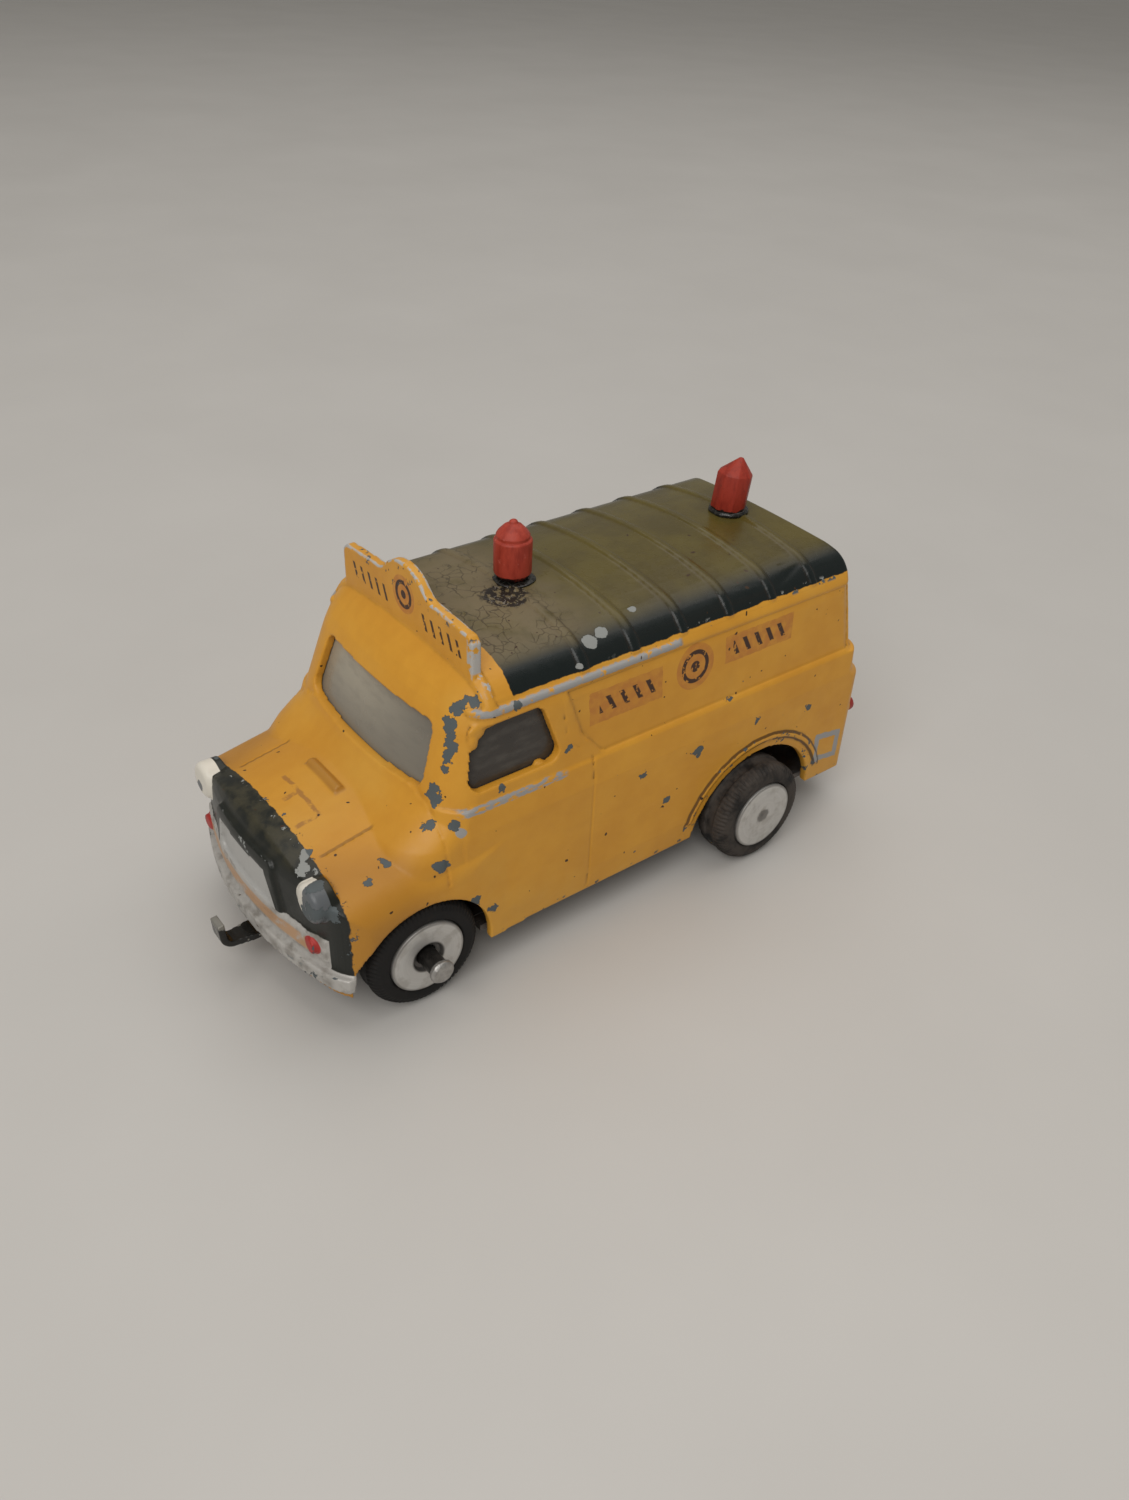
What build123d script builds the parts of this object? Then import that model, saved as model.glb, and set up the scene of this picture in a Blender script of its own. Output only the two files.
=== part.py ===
from build123d import *
import os
from math import cos, radians, sin, sqrt

# Toy road service van: cast metal body, folded tin base, free axle at the front, wheelset at the
# rear, glued glazing, two roof beacons and a tow hook.
# Frame: origin on the ground under the middle of the van, front towards -Y, the van's left side
# towards +X, +Z up. All sizes are in millimetres.

# ---- driving dimensions -------------------------------------------------------------------------
WALL = 1.1                    # thickness of the casting
SILL_Z = 5.0                  # underside of the body sides
ROOF_Z = 39.2                 # top of the roof on the centre line
REAR_Y = 43.2                 # rearmost face of the lower body
NOSE_Y = -38.8                # foremost point of the radiator face
FRONT_AXLE_Y = -26.3
REAR_AXLE_Y = 22.2
AXLE_Z = 7.0
AXLE_R = 1.19                 # 3/32 in rod
RUNNING_GAP = 0.06            # radial clearance of an axle in its ears
TYRE_R = 7.0
HUB_R = 4.6

# ---- van form: upper body -----------------------------------------------------------------------
CABIN_LOW_Z = 20.0
CABIN_LOW_HALF = 17.4         # half width at CABIN_LOW_Z
CABIN_TOP_HALF = 15.95        # half width where side and roof would meet
CROWN_R = 60.0
SHOULDER_R = 6.5
SCREEN_Y = -24.5              # front of the cab at SCREEN_Z
SCREEN_Z = 24.2
SCREEN_SLOPE = 0.359          # mm back for each mm up
BROW_R = 12.0                 # rounding between windscreen and roof
TAIL_Y = 41.7                 # rear of the upper body at TAIL_Z
TAIL_Z = 21.0
TAIL_SLOPE = 0.167
TAIL_R = 7.0                  # rounding between rear face and roof
SCREEN_BOW_R = 85.0           # plan radius of the windscreen
TAIL_BOW_R = 150.0            # plan radius of the rear face
PILLAR_R = 5.2                # plan radius of the front corners
TAIL_CORNER_R = 3.6
CABIN_HEIGHTS = (20.0, 31.0, 32.5, 33.9, 35.2, 36.3, 37.2, 37.9)
ROUND_OVER = 0.5              # how far the end roundings rise past the roof line
SIDE_SPARE = 0.15             # how far the plan outline stands outside the side section
ROOF_SPARE = 0.05             # how far the last plan outline stands above the roof
OVERRUN = 5.0                 # how far blanks and cutters run past what they shape

# ---- van form: lower body, nose and cowl --------------------------------------------------------
LOWER_TOP_Z = 24.3            # waist line along the sides
LOWER_HALF = 17.6
NOSE_HALF = 17.95             # half width over the front wings
WING_FULL_Y = -22.0           # the wings start to die away behind this
NOSE_BACK_Y = -8.0            # where the wings die away into the sides
NOSE_BOW_R = 46.0
NOSE_SPARE = 0.1              # how far the nose's plan outline stands outside its section
NOSE_TAPER = 0.9              # how far the wings die away
NOSE_TRIM = 0.02
NOSE_CORNER_R = 5.0
BONNET_Z = 21.9               # bonnet crown at BONNET_Y
BONNET_Y = -28.0
BONNET_SLOPE = 0.19
BONNET_CROWN_R = 40.0
WING_R = 4.2                  # rounding between bonnet and wing
NOSE_ROUND_R = 5.0            # rounding over the radiator
NOSE_ROUND_TOP = 21.6         # height that rounding would reach
NOSE_HEIGHTS = (16.6, 17.6, 18.5, 19.3, 20.0, 20.6, 21.2, 27.0)
TUMBLE_Z = 8.5                # the sides tuck in below this height
TUMBLE = 0.3
BELT_Z = 21.0                 # the sides lean in above this height
BELT_LEAN = 0.35
BELT_TOP = 25.0
BELT_STEP = 0.08              # how far the waist stands forward of the windscreen's foot
TAIL_STEP_Z = 20.3            # shelf across the tail
TAIL_STEP = (1.0, 1.2)        # height and depth of that shelf
COWL_CORNER_R = 6.0
COWL_STEPS = (                # height, foremost point and half width of the skirt
    (14.5, -32.8, 17.5),
    (18.0, -31.0, 17.5),
    (20.4, -28.9, 17.45),
    (21.6, -27.4, 17.4),
    (23.0, -25.6, 17.3),
    (24.1, -24.6, 17.2),
)

# ---- openings and surface detail ----------------------------------------------------------------
SCREEN_LOW = (12.0, 25.2)     # x and z of the windscreen's lower corners
SCREEN_HIGH = (11.1, 32.4)
SCREEN_MID_LOW_Z = 24.7
SCREEN_MID_HIGH_Z = 32.3
SCREEN_CORNER_R = 1.4
DOOR_WINDOW = ((-20.1, 25.9), (-18.7, 33.2), (-10.4, 33.3), (-7.9, 26.0))
DOOR_WINDOW_R = 1.3
TAIL_WINDOW_X = 6.6           # middle of each rear window
TAIL_WINDOW_SIZE = (9.0, 6.0)
TAIL_WINDOW_Z = 29.8
TAIL_WINDOW_R = 1.2
FRONT_ARCH_CENTRE = (-26.5, 5.9)
FRONT_ARCH_R = 8.6
REAR_ARCH_CENTRE = (23.75, 4.25)
REAR_ARCH_R = 10.5
LIP_GAP = 1.3                 # from the cut rear arch to the moulded lip around it
LIP_WIDTH = 0.7
LIP_HEIGHT = 0.3
LIP_FOOT_Z = SILL_Z + 3       # the lips end at this height
SIDE_REACH = LOWER_HALF + 2   # blocks through both sides start and end here
END_REACH = 2.0               # blocks through the tail start this far behind it
END_DEPTH = 10.0
SCREEN_REACH = 12.0           # the block through the windscreen reaches this far each way
SHUT_WIDTH = 0.3
SHUT_DEPTH = 0.25
DOOR_FRONT_LINE = ((-23.4, 15.0), (-23.4, 25.0), (-21.8, 33.5))
DOOR_REAR_LINE = ((-3.8, 5.6), (-3.8, 24.8), (-7.2, 28.0), (-8.0, 33.8))
TAIL_DOOR_HALF = 13.4
TAIL_DOOR_LOW_Z = 8.5
TAIL_DOOR_HIGH_Z = 33.5
PANEL_DEPTH = 0.3             # recess of the load space sides
PANEL_CORNER_R = 1.5
PANEL_OUTLINE = ((-7.2, 33.9), (-5.3, 28.0), (-2.4, 24.6), (38.9, 24.6), (38.3, 33.9))
RIB_YS = (-4.3, 2.9, 10.0, 17.2, 24.2, 31.2)
RIB_WIDTH = 0.85
RIB_HEIGHT = 0.25
RIB_LOW_Z = 35.4
RIB_BLANK = 10.0
RAIL_Z = 34.6                 # drip rail over the door
RAIL_WIDTH = 0.55
RAIL_FRONT_Y = -18.8
RAIL_REAR_Y = 9.1
SIGN_Y = -16.7
SIGN_THICK = 1.2
SIGN_HALF = 13.1
SIGN_END_Z = 42.1
SIGN_TOP_Z = 45.0
SIGN_DOME_HALF = 3.9
SIGN_DOME_Z = 43.3
SIGN_SWEEP = ((4.7, 42.7), (6.0, 42.5))
SIGN_CORNER = 0.7
SIGN_LOW_Z = 33.0             # the plate runs down into the cab to here
SIGN_FOOT_X = 15.5
SIGN_FOOT_Z = 36.4
SIGN_FOOT_SIZE = (6.0, 3.6)
LAMP_X = 12.8
LAMP_Z = 17.0
LAMP_R = 2.3
LAMP_FACE_Y = -36.9
LAMP_STANDS = 1.0             # headlamp glass in front of LAMP_FACE_Y
LAMP_EDGE_R = 0.8
FLASHER_X = 12.7
FLASHER_Z = 11.1
FLASHER_R = 0.95
LAMP_ROOT = 1.8               # how far the lamps run back into the nose
FLASHER_FRONT_Y = -37.9
FLASHER_LENGTH = 3.0
TAIL_LAMP = (15.0, 13.5)      # x and z
TAIL_LAMP_R = 1.1
TAIL_LAMP_STANDS = 0.3
TAIL_LAMP_LENGTH = 2.0
GRILLE_LOW = (6.5, 12.6)
GRILLE_HIGH = (5.0, 17.0)
SURROUND = 1.5
SURROUND_STANDS = 0.5
GRILLE_CORNER_R = 1.0
FACE_REACH = 6.0              # blocks through the radiator face start this far in front of it
BAND_LOW_Z = 9.4
BAND_HIGH_Z = 12.4
BAND_HALF = 14.4
BAND_STANDS = 0.4
TRIM_BLANK = 8.0
BUMPER_LOW_Z = 6.4
BUMPER_HIGH_Z = 8.3
BUMPER_HALF = 17.3
BUMPER_STANDS = 0.9
SCOOP_Y = -28.3
SCOOP_Z = 21.75
SCOOP_HALF = 3.3
SCOOP_R = 0.6
SHUT_BONNET_X = 9.6
SHUT_BONNET_Y = -31.0
SHUT_BONNET_Z = 21.0
SHUT_BONNET_SIZE = (6.5, 6.0)

# ---- base, rivets and running gear --------------------------------------------------------------
PLATE = 0.8                   # tin of the base
PLATE_HALF = 15.9
PLATE_FRONT_Y = -36.0
PLATE_REAR_Y = 41.4
PLATE_NECK_HALF = 10.0        # the front corners are cut back to here
PLATE_NECK = 5.0
PLATE_CORNER = 2.5
PLATE_WHEEL_ROOM = 8.0        # notch across each tyre
PLATE_WHEEL_GAP = 0.3
PLATE_TYRE_GAP = 1.1
PRESSED_HALF = 10.5           # flat panel pressed down between the axles
PRESSED_FRONT_Y = -15.0
PRESSED_REAR_Y = 11.0
PRESSED = 0.5
EAR_WIDTH = 5.4
EAR_TOP_R = 2.7
FRONT_EAR_X = 11.6            # middle of each ear's thickness
REAR_EAR_X = 12.8
FRONT_POST_Y = -35.0
REAR_POST_Y = 33.0
FRONT_POST_TOP = 19.9
REAR_POST_TOP = 38.2
POST_R = 2.0
PIN_R = 1.3
PIN_GAP = 0.05
HEAD_R = 1.9
HEAD_THICK = 0.45
STRIP = 0.8                   # tow hook strip
FRONT_TYRE = (13.2, 17.6)     # inner and outer face, from the centre line
REAR_TYRE = (15.6, 20.8)
FRONT_HUB = (13.0, 17.8)
REAR_HUB = (15.4, 21.0)
HUB_BOSS_R = 2.3
HUB_BOSS = 0.6
HUB_RECESS_R = 1.75
HUB_RECESS = 0.5
TYRE_SHOULDER_R = 0.9
AXLE_FLOAT = 2.2
RIVET_END_R = 1.5
RIVET_END = 0.9

# ---- glazing and roof beacons -------------------------------------------------------------------
GLASS = 0.5
GLASS_GAP = 0.06              # between the casting's inner face and the sheet
GLASS_OVERLAP = 1.0
BEACON_Y = -3.0
BEACON_R = 2.2
REAR_BEACON_Y = 30.6
REAR_BEACON_TILT = 8.0
PAD_R = 2.6
PAD_THICK = 0.3
PAD_OVAL = 0.3                # how much shorter than wide the front pad is
PAD_SHIFT = 0.2
PAD_ROOT = 0.5                # how far the front pad reaches into the roof before it is cut to it
REAR_PAD_ROOT = 0.7
REAR_PAD_SHIFT = 0.3
REAR_FOOT_Z = ROOF_Z + 0.1
DOOR_GLASS_X = 14.0
DOOR_GLASS_DEPTH = 6.0
BEACON_FOOT = ROOF_Z + PAD_THICK
BEACON_TOP = 46.4
CAP_Z = 43.7                  # joint line of the front beacon's cap
FACETS = 8
FACET_HEIGHT = 4.6            # upright part of the rear beacon
TIP_HEIGHT = 2.1
TIP_R = 0.25
TIP_SHIFT = (0.3, 0.2)
FACET_R = BEACON_R + 0.1
FACET_TURN = 12
BEACON_PROFILE = (            # half width and height above BEACON_FOOT or CAP_Z
    (1.7, BEACON_FOOT),
    (2.2, BEACON_FOOT + 0.6),
    (2.2, CAP_Z - 0.3),
    (2.0, CAP_Z),
    (2.15, CAP_Z + 0.3),
    (1.95, CAP_Z + 1.1),
)
BEACON_DOME = (1.25, CAP_Z + 1.9)
BEACON_NUB = (0.5, CAP_Z + 2.25)
BEACON_NUB_TOP = 0.35

# ---- tow hook -----------------------------------------------------------------------------------
HOOK_X = 0.4
HOOK_HALF = 1.3
HOOK_TIP_HALF = 1.05
HOOK_PAD_R = 2.4
HOOK_BEND_Y = -41.5
HOOK_TIP_Y = -43.0
HOOK_BEND_R = 1.5
HOOK_TIP_Z = 7.9
HOOK_LEAN = 0.1
HOOK_BLANK = 5.0              # half width of the strip before it is cut to shape
HOOK_BLANK_Z = 15.0
HOOK_CUT = 2.0

# ---- small fits ---------------------------------------------------------------------------------
DIMPLE_R = 0.4
DIMPLE = 0.25
STOP_GAP = 0.05               # between a spun-over axle end and the hub beside it
RIVET_END_CHAMFER = 0.3
HUB_CHAMFER = 0.15
HUB_FACE = 1.0                # metal left over a blind bore


def crown_height(x, top, radius):
    """Height of a crown of the given radius at the distance x from the centre line."""
    return top - radius + sqrt(radius * radius - x * x)


def arch_section(plane, low, low_half, top_half, top, crown, shoulder):
    """Closed section with leaning sides, a crowned top and rounded shoulders."""
    top_z = crown_height(top_half, top, crown)
    with BuildSketch(plane) as section:
        with BuildLine():
            Polyline((-top_half, top_z), (-low_half, low), (low_half, low), (top_half, top_z))
            ThreePointArc((top_half, top_z), (0, top), (-top_half, top_z))
        make_face()
        fillet(section.vertices().group_by(Axis.Y)[-1], shoulder)
    return section.sketch


def plan_outline(z, front, rear, half, front_bow, rear_bow, front_corner, rear_corner):
    """Plan outline with bowed ends and rounded corners, at height z."""
    front_side = front + front_bow - sqrt(front_bow * front_bow - half * half)
    rear_side = rear - rear_bow + sqrt(rear_bow * rear_bow - half * half)
    with BuildSketch(Plane.XY.offset(z)) as outline:
        with BuildLine():
            ThreePointArc((-half, front_side), (0, front), (half, front_side))
            Line((half, front_side), (half, rear_side))
            ThreePointArc((half, rear_side), (0, rear), (-half, rear_side))
            Line((-half, rear_side), (-half, front_side))
        make_face()
        fillet(outline.vertices().group_by(Axis.Y)[0], front_corner)
        fillet(outline.vertices().group_by(Axis.Y)[-1], rear_corner)
    return outline.sketch


def side_half(z):
    """Half width of the upper body's side face at height z."""
    top_z = crown_height(CABIN_TOP_HALF, ROOF_Z, CROWN_R)
    lean = (CABIN_LOW_HALF - CABIN_TOP_HALF) / (top_z - CABIN_LOW_Z)
    return CABIN_LOW_HALF - lean * (z - CABIN_LOW_Z)


def rounded_end(z, start, start_z, slope, radius, top, inset):
    """Distance along Y of a sloping end face that rounds over into the roof at height top."""
    length = sqrt(1 + slope * slope)
    centre_z = top - radius
    centre = start + slope * (centre_z - start_z) + radius * length
    tangent_z = centre_z + radius * slope / length
    if z <= tangent_z:
        return start + slope * (z - start_z) + inset * length
    reach = radius - inset
    height = min(z - centre_z, reach)
    return centre - sqrt(reach * reach - height * height)


def cabin(inset):
    """Upper body: cab and load space, shrunk by inset on every side."""
    top = ROOF_Z - inset
    end_top = ROOF_Z + ROUND_OVER
    slices = []
    for z in CABIN_HEIGHTS + (top + ROOF_SPARE,):
        front = rounded_end(z, SCREEN_Y, SCREEN_Z, SCREEN_SLOPE, BROW_R, end_top, inset)
        rear = -rounded_end(z, -TAIL_Y, TAIL_Z, TAIL_SLOPE, TAIL_R, end_top, inset)
        half = side_half(z) + SIDE_SPARE - inset
        slices.append(plan_outline(z, front, rear, half, SCREEN_BOW_R - inset,
                                   TAIL_BOW_R - inset, PILLAR_R - inset, TAIL_CORNER_R - inset))
    with BuildPart() as volume:
        loft(sections=slices, ruled=True)
        section = arch_section(Plane.XZ.offset(-REAR_Y), CABIN_LOW_Z - OVERRUN,
                               side_half(CABIN_LOW_Z - OVERRUN) - inset, CABIN_TOP_HALF - inset, top,
                               CROWN_R - inset, SHOULDER_R - inset)
        extrude(section, amount=REAR_Y - SCREEN_Y + OVERRUN, mode=Mode.INTERSECT)
    return volume.part


def lower_body(inset):
    """Fuller lower sides up to the waist line, with the deeper tail panel at the rear."""
    low = SILL_Z - inset
    top = LOWER_TOP_Z - inset
    half = LOWER_HALF - inset
    waist = half - BELT_LEAN
    with BuildPart() as volume:
        with BuildSketch(Plane.XZ.offset(-REAR_Y)):
            with BuildLine():
                Polyline((-half, TUMBLE_Z), (-half + TUMBLE, low), (half - TUMBLE, low), (half, TUMBLE_Z),
                         (half, BELT_Z), (waist, top), (-waist, top), (-half, BELT_Z), close=True)
            make_face()
        extrude(amount=REAR_Y - SCREEN_Y + OVERRUN)
        slices = []
        for z, rear in ((low, REAR_Y), (TAIL_STEP_Z, REAR_Y),
                        (TAIL_STEP_Z + TAIL_STEP[0], REAR_Y - TAIL_STEP[1]), (BELT_TOP, TAIL_Y)):
            front = rounded_end(max(z, CABIN_LOW_Z), SCREEN_Y, SCREEN_Z, SCREEN_SLOPE, BROW_R, ROOF_Z,
                                inset)
            slices.append(plan_outline(z, front - BELT_STEP, rear - inset, half + SIDE_SPARE, SCREEN_BOW_R,
                                       TAIL_BOW_R - inset, PILLAR_R - inset, TAIL_CORNER_R - inset))
        loft(sections=slices, ruled=True, mode=Mode.INTERSECT)
    return volume.part


def nose_outline(z, inset):
    """Plan outline of the nose at height z, open to the rear into the sides."""
    half = NOSE_HALF - inset
    front = rounded_end(z, NOSE_Y, SILL_Z, 0, NOSE_ROUND_R, NOSE_ROUND_TOP, inset)
    edge = half + 2 * NOSE_SPARE
    side = front + NOSE_BOW_R - sqrt(NOSE_BOW_R ** 2 - edge ** 2)
    tail = half - NOSE_TAPER
    with BuildSketch(Plane.XY.offset(z)) as outline:
        with BuildLine():
            ThreePointArc((-edge, side), (0, front), (edge, side))
            Polyline((edge, side), (half + NOSE_SPARE, WING_FULL_Y), (tail, NOSE_BACK_Y),
                     (-tail, NOSE_BACK_Y), (-half - NOSE_SPARE, WING_FULL_Y), (-edge, side))
        make_face()
        fillet(outline.vertices().group_by(Axis.Y)[0], NOSE_CORNER_R - inset)
    return outline.sketch


def nose(inset):
    """Bonnet, wings and radiator face."""
    half = NOSE_HALF - inset - NOSE_TRIM
    top = BONNET_Z + BONNET_SLOPE * (NOSE_BACK_Y - BONNET_Y) - inset
    with BuildPart() as volume:
        loft(sections=[nose_outline(z, inset) for z in (SILL_Z - inset,) + NOSE_HEIGHTS], ruled=True)
        section = arch_section(Plane.XZ.offset(-NOSE_BACK_Y), SILL_Z - inset - OVERRUN, half, half, top,
                               BONNET_CROWN_R - inset, WING_R - inset)
        extrude(section, amount=NOSE_BACK_Y - NOSE_Y + OVERRUN, dir=(0, -1, -BONNET_SLOPE),
                mode=Mode.INTERSECT)
    return volume.part


def cowl(inset):
    """Skirt that rises from the bonnet to the foot of the windscreen."""
    slices = []
    for z, front, half in COWL_STEPS:
        slices.append(plan_outline(z, front + inset, 0, half - inset, SCREEN_BOW_R - inset,
                                   TAIL_BOW_R, COWL_CORNER_R - inset, 1))
    with BuildPart() as volume:
        loft(sections=slices, ruled=True)
    return volume.part


def windscreen_prism(grow):
    """Block through the windscreen opening, grown by grow all round."""
    with BuildPart() as prism:
        with BuildSketch(Plane.XZ.offset(-SCREEN_Y - SCREEN_REACH)) as opening:
            with BuildLine():
                ThreePointArc((-SCREEN_LOW[0], SCREEN_LOW[1]), (0, SCREEN_MID_LOW_Z), SCREEN_LOW)
                Line(SCREEN_LOW, SCREEN_HIGH)
                ThreePointArc(SCREEN_HIGH, (0, SCREEN_MID_HIGH_Z), (-SCREEN_HIGH[0], SCREEN_HIGH[1]))
                Line((-SCREEN_HIGH[0], SCREEN_HIGH[1]), (-SCREEN_LOW[0], SCREEN_LOW[1]))
            make_face()
            fillet(opening.vertices(), SCREEN_CORNER_R)
            if grow:
                offset(amount=grow)
        extrude(amount=2 * SCREEN_REACH)
    return prism.part


def door_window_prism(grow, start, depth):
    """Block through a door window, from x = start over depth."""
    with BuildPart() as prism:
        with BuildSketch(Plane.YZ.offset(start)) as opening:
            with BuildLine():
                Polyline(*DOOR_WINDOW, close=True)
            make_face()
            fillet(opening.vertices(), DOOR_WINDOW_R)
            if grow:
                offset(amount=grow)
        extrude(amount=depth)
    return prism.part


def tail_window_prism(grow):
    """Blocks through the two rear windows."""
    with BuildPart() as prism:
        with BuildSketch(Plane.XZ.offset(-REAR_Y - END_REACH)):
            with Locations((TAIL_WINDOW_X, TAIL_WINDOW_Z), (-TAIL_WINDOW_X, TAIL_WINDOW_Z)):
                RectangleRounded(TAIL_WINDOW_SIZE[0] + 2 * grow, TAIL_WINDOW_SIZE[1] + 2 * grow,
                                 TAIL_WINDOW_R)
        extrude(amount=END_DEPTH)
    return prism.part


def side_grooves(core):
    """Shut lines of the doors on both sides, down to the core form."""
    with BuildPart() as grooves:
        with BuildSketch(Plane.YZ.offset(-SIDE_REACH)):
            with BuildLine():
                Polyline(*DOOR_FRONT_LINE)
            trace(line_width=SHUT_WIDTH)
            with BuildLine():
                Polyline(*DOOR_REAR_LINE)
            trace(line_width=SHUT_WIDTH)
        extrude(amount=2 * SIDE_REACH)
        add(core, mode=Mode.SUBTRACT)
    return grooves.part


def tail_grooves(core):
    """Shut lines of the two rear doors, down to the core form."""
    with BuildPart() as grooves:
        with BuildSketch(Plane.XZ.offset(-REAR_Y - END_REACH)):
            middle = (TAIL_DOOR_LOW_Z + TAIL_DOOR_HIGH_Z) / 2
            with Locations((0, middle), (TAIL_DOOR_HALF, middle), (-TAIL_DOOR_HALF, middle)):
                Rectangle(SHUT_WIDTH, TAIL_DOOR_HIGH_Z - TAIL_DOOR_LOW_Z)
            with Locations((0, TAIL_DOOR_LOW_Z), (0, TAIL_DOOR_HIGH_Z)):
                Rectangle(2 * TAIL_DOOR_HALF + SHUT_WIDTH, SHUT_WIDTH)
        extrude(amount=END_DEPTH)
        add(core, mode=Mode.SUBTRACT)
    return grooves.part


def bonnet_grooves(core):
    """Shut lines along both edges of the bonnet."""
    with BuildPart() as grooves:
        with Locations((SHUT_BONNET_X, SHUT_BONNET_Y, SHUT_BONNET_Z),
                       (-SHUT_BONNET_X, SHUT_BONNET_Y, SHUT_BONNET_Z)):
            Box(SHUT_WIDTH, *SHUT_BONNET_SIZE)
        add(core, mode=Mode.SUBTRACT)
    return grooves.part


def side_panels(core):
    """Shallow recess of the load space sides."""
    with BuildPart() as panels:
        with BuildSketch(Plane.YZ.offset(-SIDE_REACH)) as outline:
            with BuildLine():
                Polyline(*PANEL_OUTLINE, close=True)
            make_face()
            fillet(outline.vertices().sort_by(Axis.Y)[0:3].sort_by(Axis.X)[0:2], PANEL_CORNER_R)
        extrude(amount=2 * SIDE_REACH)
        add(core, mode=Mode.SUBTRACT)
    return panels.part


def roof_ribs():
    """Raised swages across the roof."""
    with BuildPart() as ribs:
        for y in RIB_YS:
            with Locations((0, y, RIB_LOW_Z + RIB_BLANK / 2)):
                Box(2 * CABIN_LOW_HALF, RIB_WIDTH, RIB_BLANK)
        add(cabin(-RIB_HEIGHT), mode=Mode.INTERSECT)
    return ribs.part


def side_trim():
    """Drip rails over the doors and the ends of the sign's foot."""
    with BuildPart() as trim:
        middle = (RAIL_FRONT_Y + RAIL_REAR_Y) / 2
        with Locations((0, middle, RAIL_Z)):
            Box(2 * CABIN_LOW_HALF, RAIL_REAR_Y - RAIL_FRONT_Y, RAIL_WIDTH)
        with Locations((SIGN_FOOT_X, SIGN_Y, SIGN_FOOT_Z), (-SIGN_FOOT_X, SIGN_Y, SIGN_FOOT_Z)):
            Box(SIGN_FOOT_SIZE[0], SIGN_THICK, SIGN_FOOT_SIZE[1])
        add(cabin(-LIP_HEIGHT), mode=Mode.INTERSECT)
    return trim.part


def arch_lips():
    """Moulded lips left around the enlarged rear arches."""
    with BuildPart() as lips:
        with BuildSketch(Plane.YZ.offset(-SIDE_REACH)):
            with Locations(REAR_ARCH_CENTRE):
                Circle(REAR_ARCH_R + LIP_GAP + LIP_WIDTH)
                Circle(REAR_ARCH_R + LIP_GAP, mode=Mode.SUBTRACT)
            with Locations((REAR_ARCH_CENTRE[0], LIP_FOOT_Z - REAR_ARCH_R)):
                Rectangle(4 * REAR_ARCH_R, 2 * REAR_ARCH_R, mode=Mode.SUBTRACT)
        extrude(amount=2 * SIDE_REACH)
        add(lower_body(-LIP_HEIGHT), mode=Mode.INTERSECT)
    return lips.part


def sign_plate():
    """Headboard with a domed middle."""
    sweep, sweep_end = SIGN_SWEEP
    with BuildPart() as plate:
        with BuildSketch(Plane.XZ.offset(-SIGN_Y - SIGN_THICK / 2)):
            with BuildLine():
                Polyline(sweep_end, (SIGN_HALF - SIGN_CORNER, SIGN_END_Z),
                         (SIGN_HALF, SIGN_END_Z - SIGN_CORNER), (SIGN_HALF, SIGN_LOW_Z),
                         (-SIGN_HALF, SIGN_LOW_Z), (-SIGN_HALF, SIGN_END_Z - SIGN_CORNER),
                         (-SIGN_HALF + SIGN_CORNER, SIGN_END_Z), (-sweep_end[0], sweep_end[1]))
                ThreePointArc((-sweep_end[0], sweep_end[1]), (-sweep[0], sweep[1]),
                              (-SIGN_DOME_HALF, SIGN_DOME_Z))
                ThreePointArc((-SIGN_DOME_HALF, SIGN_DOME_Z), (0, SIGN_TOP_Z), (SIGN_DOME_HALF, SIGN_DOME_Z))
                ThreePointArc((SIGN_DOME_HALF, SIGN_DOME_Z), sweep, sweep_end)
            make_face()
        extrude(amount=SIGN_THICK)
    return plate.part


def trapezoid_prism(low, high, grow):
    """Block through the radiator face with the grille's outline grown by grow."""
    with BuildPart() as prism:
        with BuildSketch(Plane.XZ.offset(-NOSE_Y - FACE_REACH)) as outline:
            with BuildLine():
                Polyline((-low[0] - grow, low[1] - grow), (low[0] + grow, low[1] - grow),
                         (high[0] + grow, high[1] + grow), (-high[0] - grow, high[1] + grow), close=True)
            make_face()
            fillet(outline.vertices(), GRILLE_CORNER_R)
        extrude(amount=END_DEPTH)
    return prism.part


def face_trim():
    """Grille surround, lower band and bumper, each standing proud of the nose."""
    with BuildPart() as surround:
        add(trapezoid_prism(GRILLE_LOW, GRILLE_HIGH, SURROUND))
        add(trapezoid_prism(GRILLE_LOW, GRILLE_HIGH, 0), mode=Mode.SUBTRACT)
        add(nose(-SURROUND_STANDS), mode=Mode.INTERSECT)
    with BuildPart() as band:
        with Locations((0, NOSE_Y + TRIM_BLANK / 4, (BAND_LOW_Z + BAND_HIGH_Z) / 2)):
            Box(2 * BAND_HALF, TRIM_BLANK, BAND_HIGH_Z - BAND_LOW_Z)
        add(nose(-BAND_STANDS), mode=Mode.INTERSECT)
    with BuildPart() as bumper:
        with Locations((0, NOSE_Y + TRIM_BLANK / 4, (BUMPER_LOW_Z + BUMPER_HIGH_Z) / 2)):
            Box(2 * BUMPER_HALF, TRIM_BLANK, BUMPER_HIGH_Z - BUMPER_LOW_Z)
        add(nose(-BUMPER_STANDS), mode=Mode.INTERSECT)
    return (surround.part, band.part, bumper.part)


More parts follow.
